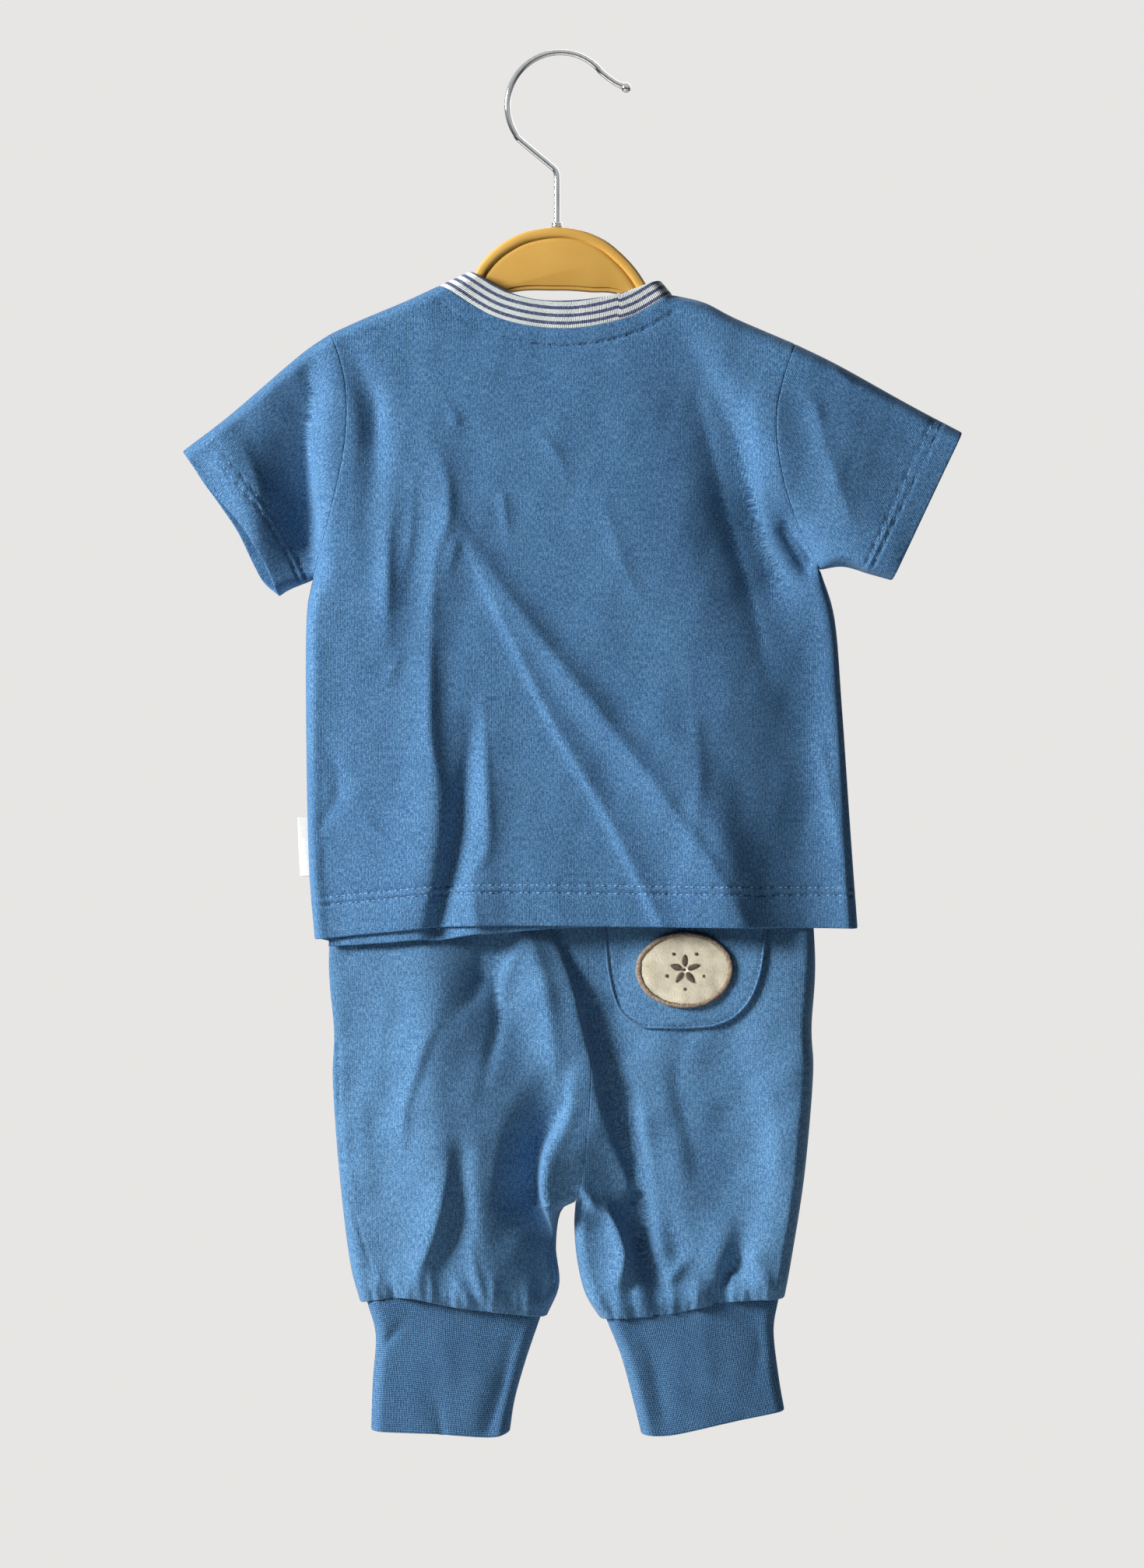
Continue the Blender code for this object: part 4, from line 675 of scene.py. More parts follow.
def folded(places, folds, creases, waves, gain=CREASE_GAIN):
    """What folds, creases and the cloth's roll add at each place, and the creases' shift."""
    large, _ = relief(places, folds, FOLD_SHAPE)
    small, shift = relief(places, creases, CREASE_SHAPE)
    return large + gain * small + unevenness(places, waves), shift


def shirt_rule(places, folds, creases):
    out = np.clip((np.abs(places[..., 0] - SHIRT_MIDDLE) - SLEEVE_START) / SLEEVE_LENGTH, 0, 1)
    depth = by_height(SHIRT_DEPTH, places) * (1 - SLEEVE_THINNING * out)
    rise = edge_rise(places, SHIRT_CLOSED, depth)
    height, shift = folded(places, folds, creases, SHIRT_WAVES)
    return rise * (depth + height), rise * shift


def gather_creases():
    """Short ridges that run up from both cuff seams."""
    creases = []
    for seam in CUFF_SEAMS:
        path = smooth_path(seam)
        for gather in GATHERS:
            x, z = along(path, np.array(gather.share))
            points = ((x + gather.slant, z + gather.length), (x, z + gather.length / 2), (x, z))
            heights = (0.0, 0.7 * gather.height, gather.height)
            creases.append(Crease(points, heights, (GATHER_WIDTH, GATHER_WIDTH)))
    return creases


def trouser_rule(places, folds, creases):
    depth = by_height(TROUSER_DEPTH, places)
    height, shift = folded(places, folds, creases, TROUSER_WAVES)
    for seam in CUFF_SEAMS:
        gap, reach, _ = distance_to(places, smooth_path(seam, 60))
        wave = np.cos(2 * pi * GATHER_COUNT * reach + 2 * np.sin(5 * reach))
        height += GATHER_RISE * wave * np.exp(-(gap / GATHER_LENGTH) ** 2)
        height += CUFF_PUFF * np.exp(-((gap - CUFF_PUFF_PLACE) / CUFF_PUFF_WIDTH) ** 2)
    rise = edge_rise(places, TROUSER_CLOSED, depth)
    return rise * np.maximum(depth + height, TROUSER_LEAST_DEPTH), rise * shift


def cuff_rule(places, folds, creases):
    crest = np.where(places[..., 0] < CUFF_GAP, *CUFF_CRESTS)
    depth = CUFF_DEPTH * (1 - CUFF_FALL * ((places[..., 0] - crest) / CUFF_WIDTH) ** 2)
    rise = edge_rise(places, CUFF_CLOSED, depth)
    height, shift = folded(places, folds, creases, CUFF_WAVES, gain=1.0)
    return rise * (depth + height), rise * shift


Groove = namedtuple("Groove", "path depth width")
Hem = namedtuple("Hem", "path width")


class Cloth:
    """One layer of a garment: its rule, the side it faces, its folds, creases and sewing."""

    def __init__(self, rule, side, folds=(), creases=(), gap=0.0, grooves=(), hem=None, lean=0.0):
        self.rule, self.side, self.gap, self.lean = rule, side, gap, lean
        self.folds, self.creases = folds, creases
        self.grooves, self.hem = grooves, hem

    def at(self, places):
        """Points in space for places on the layer."""
        depth, shift = self.rule(places, self.folds, self.creases)
        for groove in self.grooves:
            near = close_to(places, groove.path, 3 * groove.width)
            if near.any():
                gap, share, _ = distance_to(places[near], groove.path)
                pull = 1 + PULL_SHARE * np.sin(2 * pi * share * path_length(groove.path) / PULL_LENGTH)
                depth[near] -= groove.depth * pull * np.exp(-(gap / groove.width) ** 2)
        if self.hem:
            near = close_to(places, self.hem.path, self.hem.width + 3)
            gap = distance_to(places[near], self.hem.path)[0]
            depth[near] += HEM_RISE * quarter_round((self.hem.width - gap) / HEM_STEP)
        depth = np.maximum(depth, 0)
        away = self.side * (self.gap + depth) + self.lean * places[..., 0]
        return np.stack([places[..., 0] + shift, away, places[..., 1]], axis=-1)

    def normals(self, places):
        step = 0.5
        across = self.at(places + (step, 0)) - self.at(places - (step, 0))
        up = self.at(places + (0, step)) - self.at(places - (0, step))
        normal = np.cross(across, up)
        normal /= np.linalg.norm(normal, axis=-1, keepdims=True)
        return np.where(normal[..., 1:2] * self.side > 0, normal, -normal)

    def raised(self, places, lift):
        """Points that stand off the layer by the given lift."""
        return self.at(places) + self.normals(places) * np.asarray(lift)[..., None]


def grid_normals(points, wrap):
    """Normals of a grid of points, all to the side away from the middle plane."""
    def directions(axis, closed):
        step = np.diff(points, axis=axis)
        step /= np.maximum(np.linalg.norm(step, axis=-1, keepdims=True), 1e-9)
        first, last = np.take(step, [0], axis), np.take(step, [-1], axis)
        if closed:
            first, last = last, first
        return np.concatenate([first, step], axis) + np.concatenate([step, last], axis)
    normal = np.cross(directions(1, wrap), directions(0, False))
    normal /= np.maximum(np.linalg.norm(normal, axis=-1, keepdims=True), 1e-9)
    return -normal if (normal[..., 1] * points[..., 1]).sum() < 0 else normal


def thinning(places, open_edges, reach=1.3, least=0.35):
    """The share of the cloth's thickness at each place: less at its open edges."""
    gap = gap_to(places, open_edges, reach)
    return least + (1 - least) * quarter_round(gap / reach)


def wall(name, points, flat, thickness, material, share=None, wrap=False):
    """A closed wall of cloth: the grid's own side, its inner side and the rims."""
    share = np.ones(points.shape[:2]) if share is None else share
    normal = grid_normals(points, wrap)
    outer = points - normal * (0.5 * thickness * (1 - share))[..., None]
    inner = outer - normal * (thickness * share)[..., None]
    if wrap:
        outer, inner = outer[:, :-1], inner[:, :-1]
    rows, columns = outer.shape[:2]
    across = columns if wrap else columns - 1
    r, c = np.meshgrid(np.arange(rows - 1), np.arange(across), indexing="ij")
    left, right = r * columns + c, r * columns + (c + 1) % columns
    front = np.stack([left, right, right + columns, left + columns], -1)
    corners = np.stack([flat[r, c], flat[r, c + 1], flat[r + 1, c + 1], flat[r + 1, c]], axis=2)
    count = rows * columns
    faces = [front.reshape(-1, 4), front[..., ::-1].reshape(-1, 4) + count]
    places = [corners.reshape(-1, 4, 2), corners[:, :, ::-1].reshape(-1, 4, 2)]
    top = np.stack([np.arange(across), (np.arange(across) + 1) % columns], -1)
    rims = [top, top[:, ::-1] + count - columns]
    if not wrap:
        down = np.arange(rows - 1)
        rims.append(np.stack([down + 1, down], -1) * columns)
        rims.append(np.stack([down, down + 1], -1) * columns + columns - 1)
    for rim in rims:
        start, end = rim.T
        faces.append(np.stack([end, start, start + count, end + count], -1))
        first, last = [flat[np.divmod(corner, columns)] for corner in (start, end)]
        places.append(np.stack([last, first, first, last], axis=1))
    mesh = bpy.data.meshes.new(name)
    verts = np.vstack([outer.reshape(-1, 3), inner.reshape(-1, 3)])
    mesh.from_pydata(verts * MM, [], np.vstack(faces).tolist())
    layer = mesh.uv_layers.new(name="cut")
    layer.data.foreach_set("uv", (np.vstack(places) * MM).ravel())
    return finish_mesh(name, mesh, material)


def placed(item, place=(0, 0, 0)):
    """Put a new object into the scene."""
    item.location = place
    bpy.context.scene.collection.objects.link(item)
    return item


def finish_mesh(name, mesh, material):
    bm = bmesh.new()
    bm.from_mesh(mesh)
    bmesh.ops.remove_doubles(bm, verts=bm.verts[:], dist=1e-7)
    bmesh.ops.recalc_face_normals(bm, faces=bm.faces[:])
    bm.to_mesh(mesh)
    bm.free()
    mesh.shade_smooth()
    mesh.materials.append(material)
    return placed(bpy.data.objects.new(name, mesh))


def flat_places(points, places):
    """The cloth's own flat coordinates in millimetres, which run on around the closed edges."""
    turned = np.maximum(TURNED - np.abs(points[..., 1]), 0)
    return places + grid_normals(points, False)[..., [0, 2]] * turned[..., None]


def ring(back, front):
    """Join a back and a front grid around their two closed edges."""
    return np.concatenate([back, front[:, -2::-1]], axis=1)


def off_seam(length, shares):
    start = OFF_SEAM / length
    return start + (1 - start) * shares


def piece(item, slot, *nodes):
    """Tie a piece to the set's one body and hide the solids it stands for; its finish is not used."""
    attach(item, "root")
    if nodes:
        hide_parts(*nodes)


def tubes(name, routes, radius, material):
    """Many short threads as one mesh: an array of threads by points by (x, y, z)."""
    count, stations = routes.shape[:2]
    tangent = np.gradient(routes, axis=1)
    tangent /= np.linalg.norm(tangent, axis=-1, keepdims=True)
    helper = np.where(np.abs(tangent[..., 1:2]) < 0.8, (0.0, 1.0, 0.0), (1.0, 0.0, 0.0))
    side = np.cross(tangent, helper)
    side /= np.linalg.norm(side, axis=-1, keepdims=True)
    up = np.cross(side, tangent)
    turns = 2 * pi * np.arange(THREAD_SIDES)[:, None] / THREAD_SIDES
    rounds = np.cos(turns) * side[:, :, None, :] + np.sin(turns) * up[:, :, None, :]
    sizes = radius * np.sin(pi * (np.arange(stations) + 0.55) / (stations + 0.1)) ** 0.5
    verts = routes[:, :, None, :] + rounds * sizes[None, :, None, None]
    index = np.arange(count * stations * THREAD_SIDES).reshape(count, stations, THREAD_SIDES)
    after = np.roll(index, -1, axis=2)
    quads = np.stack([index[:, :-1], after[:, :-1], after[:, 1:], index[:, 1:]], axis=-1).reshape(-1, 4)
    caps = [*index[:, 0, ::-1].tolist(), *index[:, -1].tolist()]
    mesh = bpy.data.meshes.new(name)
    mesh.from_pydata(verts.reshape(-1, 3) * MM, [], quads.tolist() + caps)
    return finish_mesh(name, mesh, material)


def stitch_routes(cloth, path, pitch=STITCH_PITCH, length=STITCH, lift=0.10, seed=1):
    """A row of stitches along a path of places on a cloth."""
    rng = np.random.default_rng(seed)
    total = path_length(path)
    count = max(2, int(total / pitch))
    starts = (np.arange(count) + 0.2) * pitch + rng.normal(0, 0.12, count)
    shares = np.clip((starts[:, None] + np.linspace(0, length, STITCH_POINTS)) / total, 0, 1)
    places = along(path, shares)
    places += rng.normal(0, 0.05, places.shape)
    rise = lift + STITCH_ARCH * (np.sin(pi * np.linspace(0, 1, STITCH_POINTS)) - 1)
    return cloth.raised(places, rise)


def inset_path(path, distance):
    """A path moved sideways: a positive distance moves it to the left of its run."""
    step = np.gradient(path, axis=0)
    step /= np.linalg.norm(step, axis=1, keepdims=True)
    return path + distance * np.stack([-step[:, 1], step[:, 0]], axis=1)


# Materials

def srgb(red, green, blue):
    """A linear colour from the usual 0 to 255 values."""
    values = np.array((red, green, blue)) / 255
    return (*np.where(values <= 0.04045, values / 12.92, ((values + 0.055) / 1.055) ** 2.4).tolist(), 1.0)


class Nodes:
    """Short ways to add shader nodes to a tree."""

    def __init__(self, tree):
        self.tree = tree

    def add(self, kind, output=0, inputs=(), **settings):
        node = self.tree.nodes.new("ShaderNode" + kind)
        for name, value in settings.items():
            setattr(node, name, value)
        for key, value in dict(inputs).items():
            if isinstance(value, bpy.types.NodeSocket):
                self.tree.links.new(value, node.inputs[key])
            else:
                node.inputs[key].default_value = value
        return node.outputs[output]

    def math(self, operation, *values):
        return self.add("Math", inputs=enumerate(values), operation=operation)

    def weighted(self, *parts, start=0.0):
        """A sum of sockets, each times its weight: (socket, weight)."""
        total = start
        for socket, weight in parts:
            total = self.math("MULTIPLY_ADD", socket, weight, total)
        return total

    def wave(self, position, period):
        """A sine of a position in metres, from 0 to 1."""
        turned = self.math("MULTIPLY", position, 2 * pi / period)
        return self.math("MULTIPLY_ADD", self.math("SINE", turned), 0.5, 0.5)

    def noise(self, vector, scale, detail=2.0, roughness=0.5):
        return self.add("TexNoise", inputs={
            "Vector": vector, "Scale": scale, "Detail": detail, "Roughness": roughness})

    def stretched(self, vector, scale):
        return self.add("Mapping", inputs={"Vector": vector, "Scale": scale})

    def parts(self, vector):
        return self.add("SeparateXYZ", inputs={"Vector": vector}).node.outputs

    def ramp(self, factor, *stops):
        output = self.add("ValToRGB", inputs={"Fac": factor})
        elements = output.node.color_ramp.elements
        while len(elements) < len(stops):
            elements.new(0.5)
        for element, (place, colour) in zip(elements, stops):
            element.position = place
            element.color = colour
        return output

    def shades(self, factor, *stops):
        """A ramp through colours in 0 to 255: (place, (red, green, blue))."""
        return self.ramp(factor, *((place, srgb(*colour)) for place, colour in stops))


class Finish(Nodes):
    """A material, whose shader's sockets are given with _ for each space."""

    def __init__(self, name, roughness, **sockets):
        self.material = bpy.data.materials.new(name)
        self.material.use_nodes = True
        super().__init__(self.material.node_tree)
        self.shader = self.tree.nodes["Principled BSDF"]
        self.shader.inputs["Roughness"].default_value = roughness
        for socket, value in sockets.items():
            self.shader.inputs[socket.replace("_", " ")].default_value = value

    def colour(self, socket):
        self.tree.links.new(socket, self.shader.inputs["Base Color"])

    def bump(self, height, distance):
        normal = self.add("Bump", inputs={"Height": height, "Distance": distance, "Strength": 1.0})
        self.tree.links.new(normal, self.shader.inputs["Normal"])


def knit(name, colours, wale, course, fuzz):
    """A heathered jersey: rows of small V stitches under short streaks and specks."""
    finish = Finish(name, 0.88, Sheen_Weight=0.22 * fuzz, Sheen_Roughness=0.45, Sheen_Tint=COOL_SHEEN,
                    Specular_IOR_Level=0.25)
    place = finish.add("UVMap")
    streaks = finish.noise(finish.stretched(place, (1 / wale, 1 / (2.6 * wale), 1)), 1.0, 2.0, 0.6)
    specks = finish.noise(place, 1.35 / wale, 2.0, 0.7)
    mottle = finish.noise(place, 90.0, 3.0, 0.6)
    broad = finish.noise(place, 16.0, 2.0)
    across, down, _ = finish.parts(place)
    bend = finish.math("PINGPONG", across, wale / 2)
    courses = finish.wave(finish.math("ADD", down, bend), course)
    stitch = finish.weighted((bend, 1.2 / wale), (courses, 0.4))
    blend = finish.weighted(
        (streaks, 0.34), (specks, 0.54), (mottle, 0.06), (broad, 0.04), (stitch, 0.06), start=-0.02)
    finish.colour(finish.shades(blend, *zip((0.42, 0.51, 0.60), colours)))
    hairs = finish.noise(place, 2600.0, 2.0)
    finish.bump(finish.weighted((stitch, 0.7), (specks, 0.9), (hairs, 0.3 * fuzz)), 0.00017)
    return finish.material


def rib_knit(name, colours, pitch):
    """A fine rib, with painted shade in the small hole between the stitches."""
    finish = Finish(name, 0.86, Sheen_Weight=0.18, Sheen_Roughness=0.45, Sheen_Tint=COOL_SHEEN,
                    Specular_IOR_Level=0.25)
    place = finish.add("UVMap")
    wobble = finish.math("MULTIPLY", finish.noise(place, 800.0, 2.0), 5 / (2 * pi) * pitch)
    ribs, courses = [finish.wave(finish.math("ADD", part, wobble), pitch) for part in finish.parts(place)[:2]]
    # Painted shade: the colour is darkened in the pits between the stitches, where the rib's hollows lie in
    # shade.
    pit_shade = finish.math("MULTIPLY", finish.math("SUBTRACT", 1.0, ribs), finish.math("SUBTRACT", 1.0, courses))
    blend = finish.weighted(
        (finish.math("MULTIPLY", ribs, courses), 0.34), (finish.noise(place, 700.0, 3.0, 0.7), 0.45),
        (finish.noise(place, 40.0, 2.0), 0.20), (pit_shade, -0.22))
    finish.colour(finish.shades(blend, *zip((0.26, 0.40, 0.55), colours)))
    finish.bump(finish.weighted((ribs, 0.6), (courses, 0.4)), 0.00028)
    return finish.material


def striped_rib(name):
    """An off-white rib with slate stripes round the neck, by distance from the seam."""
    finish = Finish(name, 0.85, Sheen_Weight=0.12, Sheen_Roughness=0.5, Specular_IOR_Level=0.25)
    place = finish.add("UVMap")
    around, from_seam, _ = finish.parts(place)
    distance = finish.weighted((finish.noise(place, 1500.0, 1.0), 0.0006), start=from_seam)
    phase = finish.weighted((distance, 2 * pi / (STRIPE_PERIOD * MM)),
                            start=-2 * pi * (STRIPE_START + 0.3) / STRIPE_PERIOD)
    level = finish.math("MULTIPLY_ADD", finish.math("COSINE", phase), 0.5, 0.5)
    edge = 0.5 + 0.5 * cos(pi * STRIPE_SHARE)
    stripe = finish.ramp(level, (edge - 0.06, (0, 0, 0, 1)), (edge + 0.06, (1, 1, 1, 1)))
    ribs = finish.wave(around, 0.00095)
    fleck = finish.noise(place, 900.0, 2.0)
    white = finish.shades(finish.weighted((ribs, 0.35), (fleck, 0.65)),
                          (0.25, (196, 208, 210)), (0.55, (230, 238, 238)), (0.8, (246, 249, 248)))
    dark = finish.shades(fleck, (0.32, (70, 76, 108)), (0.52, (88, 96, 132)), (0.72, (120, 132, 166)))
    finish.colour(finish.add("Mix", output=2, inputs={0: stripe, 6: white, 7: dark}, data_type="RGBA"))
    finish.bump(finish.weighted((ribs, 0.7), (fleck, 0.4)), 0.0002)
    return finish.material


def thread_material(name, dark, light):
    finish = Finish(name, 0.6, Sheen_Weight=0.1)
    place = finish.add("TexCoord", output=3)
    finish.colour(finish.shades(finish.noise(place, 900.0, 1.0), (0.35, dark), (0.65, light)))
    finish.bump(finish.noise(finish.stretched(place, (1, 1, 2)), 5200.0, 1.0), 0.00005)
    return finish.material


def felt(name):
    finish = Finish(name, 0.95, Sheen_Weight=0.35, Sheen_Roughness=0.5, Specular_IOR_Level=0.15)
    place = finish.add("TexCoord", output=3)
    fibres = finish.noise(finish.stretched(place, (1, 1, 0.5)), 2400.0, 4.0, 0.65)
    blend = finish.weighted((fibres, 0.55), (finish.noise(place, 180.0, 3.0), 0.45))
    finish.colour(finish.shades(
        blend, (0.34, (196, 186, 162)), (0.5, (222, 214, 192)), (0.66, (238, 232, 214))))
    finish.bump(fibres, 0.0003)
    return finish.material


def plastic(name):
    """A moulded plastic with a faint grain and a broad, shallow unevenness."""
    finish = Finish(name, 0.42, Coat_Weight=0.08, Specular_IOR_Level=0.45)
    place = finish.add("TexCoord", output=3)
    broad = finish.noise(place, 22.0, 3.0)
    grain = finish.noise(place, 1900.0, 3.0)
    finish.colour(finish.shades(
        finish.weighted((broad, 0.8), (grain, 0.2)),
        (0.3, (219, 169, 80)), (0.5, (228, 180, 90)), (0.72, (236, 190, 104))))
    finish.bump(finish.weighted((broad, 3.0), start=grain), 0.00004)
    return finish.material


def chrome(name):
    finish = Finish(name, 0.09, Metallic=1.0)
    place = finish.add("TexCoord", output=3)
    wear = finish.noise(finish.stretched(place, (1, 1, 0.2)), 700.0, 3.0)
    finish.colour(finish.ramp(wear, (0.3, (0.62, 0.62, 0.61, 1)), (0.7, (0.80, 0.80, 0.79, 1))))
    finish.bump(wear, 0.00001)
    return finish.material


def satin(name):
    finish = Finish(name, 0.55, Sheen_Weight=0.15)
    place = finish.add("UVMap")
    weft = finish.wave(finish.parts(place)[1], 0.0005)
    blend = finish.weighted((weft, 0.3), (finish.noise(place, 400.0, 2.0), 0.7))
    finish.colour(finish.shades(blend, (0.2, (226, 225, 220)), (0.7, (246, 246, 243))))
    finish.bump(weft, 0.00006)
    return finish.material


def make_materials():
    return {
        "jersey": knit("shirt_jersey", ((48, 90, 138), (80, 130, 177), (118, 164, 206)),
                       0.00082, 0.00075, 1.0),
        "fleece": knit("trouser_fleece", ((56, 98, 142), (86, 134, 178), (116, 162, 203)),
                       0.00095, 0.00085, 1.35),
        "rib": rib_knit("cuff_rib", ((46, 88, 132), (76, 124, 168), (112, 158, 200)), 0.00095),
        "striped": striped_rib("neck_rib"),
        "thread": thread_material("blue_thread", (34, 74, 118), (58, 104, 150)),
        "hem_thread": thread_material("pale_blue_thread", (104, 150, 192), (138, 180, 214)),
        "border": thread_material("border_thread", (134, 116, 98), (182, 164, 146)),
        "brown": thread_material("brown_thread", (78, 62, 52), (112, 92, 78)),
        "felt": felt("badge_felt"),
        "label": satin("label_satin"),
        "plastic": plastic("hanger_plastic"),
        "chrome": chrome("hook_chrome"),
    }


# The shirt

def hem_groove(hem, distance, up=1):
    return Groove(inset_path(smooth_path(hem), up * distance), *HEM_GROOVE)


def neck_groove(seam):
    line = inset_path(smooth_path(seam), -NECK_STITCH)
    return Groove(line[4:-4], *NECK_GROOVE)


def turned_up(hem, rows):
    """A hem whose second layer reaches just past its furthest stitch row."""
    return Hem(smooth_path(hem), max(rows) + 0.6)


def shirt_layers():
    """The shirt's back, which shows its right side seam, and its front."""
    side = smooth_path(SHIRT_SIDE_RIGHT)
    share = np.linspace(0, 1, len(side))[:, None]
    side_seam = Groove(side + share * (inset_path(side, -SIDE_SEAM_INSET) - side), *SIDE_SEAM_GROOVE)
    layers = []
    for facing, neck_seam, hem, seams in ((BACK, BACK_NECK_SEAM, SHIRT_BACK_HEM, [side_seam]),
                                          (FRONT, FRONT_NECK_SEAM, SHIRT_FRONT_HEM, [])):
        grooves = [neck_groove(neck_seam), *seams, *[hem_groove(hem, distance) for distance in HEM_ROWS]]
        layers.append(Cloth(shirt_rule, facing, *SHIRT_RELIEF[facing], SIDE_GAP, grooves,
                            turned_up(hem, HEM_ROWS)))
    return layers


def build_shirt_panel(name, cloth, neck_seam, hem, cell, material):
    top = joined(
        (smooth_path(SHOULDER_LEFT), NECK_START),
        (smooth_path(neck_seam), NECK_END),
        (smooth_path(SHOULDER_RIGHT), 1.0),
    )
    left = joined((smooth_path(ARMHOLE_LEFT), ARMPIT), (smooth_path(SHIRT_SIDE_LEFT), 1.0))
    right = joined((smooth_path(ARMHOLE_RIGHT), ARMPIT), (smooth_path(SHIRT_SIDE_RIGHT), 1.0))
    columns = spaced(BODY_WIDTH, cell, AT_CLOSED_EDGE, AT_CLOSED_EDGE)
    lines = [NECK_STITCH] + [BODY_LENGTH - distance for distance in HEM_ROWS]
    rows = spaced(BODY_LENGTH, cell, AT_CLOSED_EDGE, AT_OPEN_EDGE, lines)
    places = coons(left, right, top, plain_edge(hem), columns, rows)
    points = cloth.at(places)
    open_edges = [smooth_path(edge, 60) for edge in (neck_seam, hem, ARMHOLE_LEFT, ARMHOLE_RIGHT)]
    return wall(name, points, flat_places(points, places), JERSEY, material, thinning(places, open_edges))


def build_sleeve(name, layers, edges, hems, turn, material):
    """A sleeve, open at the armhole and the hem, whose wales run at a turn to the shirt's."""
    armhole, top, underarm = edges
    around = spaced(SLEEVE_AROUND, CELL, AT_CLOSED_EDGE, AT_CLOSED_EDGE)
    down = spaced(SLEEVE_DOWN, SLEEVE_CELL, AT_OPEN_EDGE, AT_OPEN_EDGE)
    down = off_seam(path_length(smooth_path(top)), down)
    grids, flats, shares = [], [], []
    for cloth, hem in zip(layers, hems):
        places = coons(plain_edge(top), plain_edge(underarm), plain_edge(armhole), plain_edge(hem),
                       around, down)
        points = cloth.at(places)
        grids.append(points)
        x, z = np.moveaxis(flat_places(points, places), -1, 0)
        flats.append(np.stack([
            x * cos(turn) + z * sin(turn) + 3 * cloth.side, z * cos(turn) - x * sin(turn)], axis=-1))
        shares.append(thinning(places, [smooth_path(armhole, 60), smooth_path(hem, 60)]))
    return wall(name, ring(*grids), ring(*flats), JERSEY, material, ring(*shares), wrap=True)


def sleeve_layer(facing, hem, up):
    grooves = [hem_groove(hem, distance, up) for distance in SLEEVE_HEM_ROWS]
    return Cloth(shirt_rule, facing, *SHIRT_RELIEF[facing], 0.0, grooves, turned_up(hem, SLEEVE_HEM_ROWS))


def build_neckband(material):
    """The band round the neck, with a step in its stripes where its ends join."""
    grids, flats, shares = [], [], []
    left, right = plain_edge(BAND_FOLD_LEFT), plain_edge(BAND_FOLD_RIGHT[::-1])
    width = path_length(smooth_path(BAND_FOLD_LEFT))
    rows = off_seam(width, spaced(width, 0.9, AT_BAND_EDGE, AT_BAND_EDGE))
    for facing, seam, edge in (
            (BACK, BACK_NECK_SEAM, BACK_NECK_EDGE), (FRONT, FRONT_NECK_SEAM, FRONT_NECK_EDGE)):
        cloth = Cloth(shirt_rule, facing, SHIRT_RELIEF[facing][0])
        seam_path, edge_path = smooth_path(seam), smooth_path(edge)
        length = path_length(seam_path)
        columns = spaced(length, 1.3, AT_CLOSED_EDGE, AT_CLOSED_EDGE)
        places = coons(left, right, plain_edge(seam), plain_edge(edge), columns, rows)
        from_seam = distance_to(places, seam_path)[0]
        shift = BAND_JOIN_SHIFT * (places[..., 0] > BAND_JOIN) * (facing == BACK)
        u = np.broadcast_to(-facing * columns * length, from_seam.shape)
        flats.append(np.stack([u, from_seam + shift], axis=-1))
        grids.append(cloth.at(places))
        shares.append(thinning(places, [seam_path, edge_path], 0.9, 0.4))
    return wall("neckband_rib", ring(*grids), ring(*flats), NECK_RIB, material, ring(*shares), wrap=True)


def build_hem_turning(cloth, material):
    """The hem's turned-in edge, which hangs below the back panel on its left."""
    columns = spaced(130.0, 1.5, AT_OPEN_EDGE, AT_OPEN_EDGE)
    rows = spaced(TURNING_HEIGHT, 1.2, AT_OPEN_EDGE, AT_OPEN_EDGE)
    foot = smooth_path(TURNING_FOOT)
    head = foot + (0, TURNING_HEIGHT)
    places = coons(plain_edge((head[0], foot[0])), plain_edge((head[-1], foot[-1])),
                   joined((head, 1.0)), joined((foot, 1.0)), columns, rows)
    points = cloth.raised(places, -TURNING_INSET)
    return wall("shirt_hem_turning", points, places, JERSEY, material, thinning(places, [foot], 1.0, 0.5))


def build_label(material):
    """A satin loop that stands out of the left side seam and curls a little."""
    rows = np.linspace(0, 1, 40)[:, None]
    columns = np.linspace(0, 1, 10)
    z = LABEL_TOP - rows * LABEL_HEIGHT
    edge = smooth_path(SHIRT_SIDE_LEFT)
    seam = np.interp(-z, -edge[:, 1], edge[:, 0]) + LABEL_TUCK
    x = seam - columns * (LABEL_REACH + LABEL_TUCK) * (1 - 0.04 * rows ** 2)
    curl = (0.3 + 1.0 * rows) * columns ** 2 + 0.15 * np.sin(5 * rows + 2)
    points = np.stack([x, 0.9 * curl - 0.6, np.broadcast_to(z, x.shape)], axis=-1)
    return wall("side_label_satin", points, points[..., [0, 2]], 0.5, material)


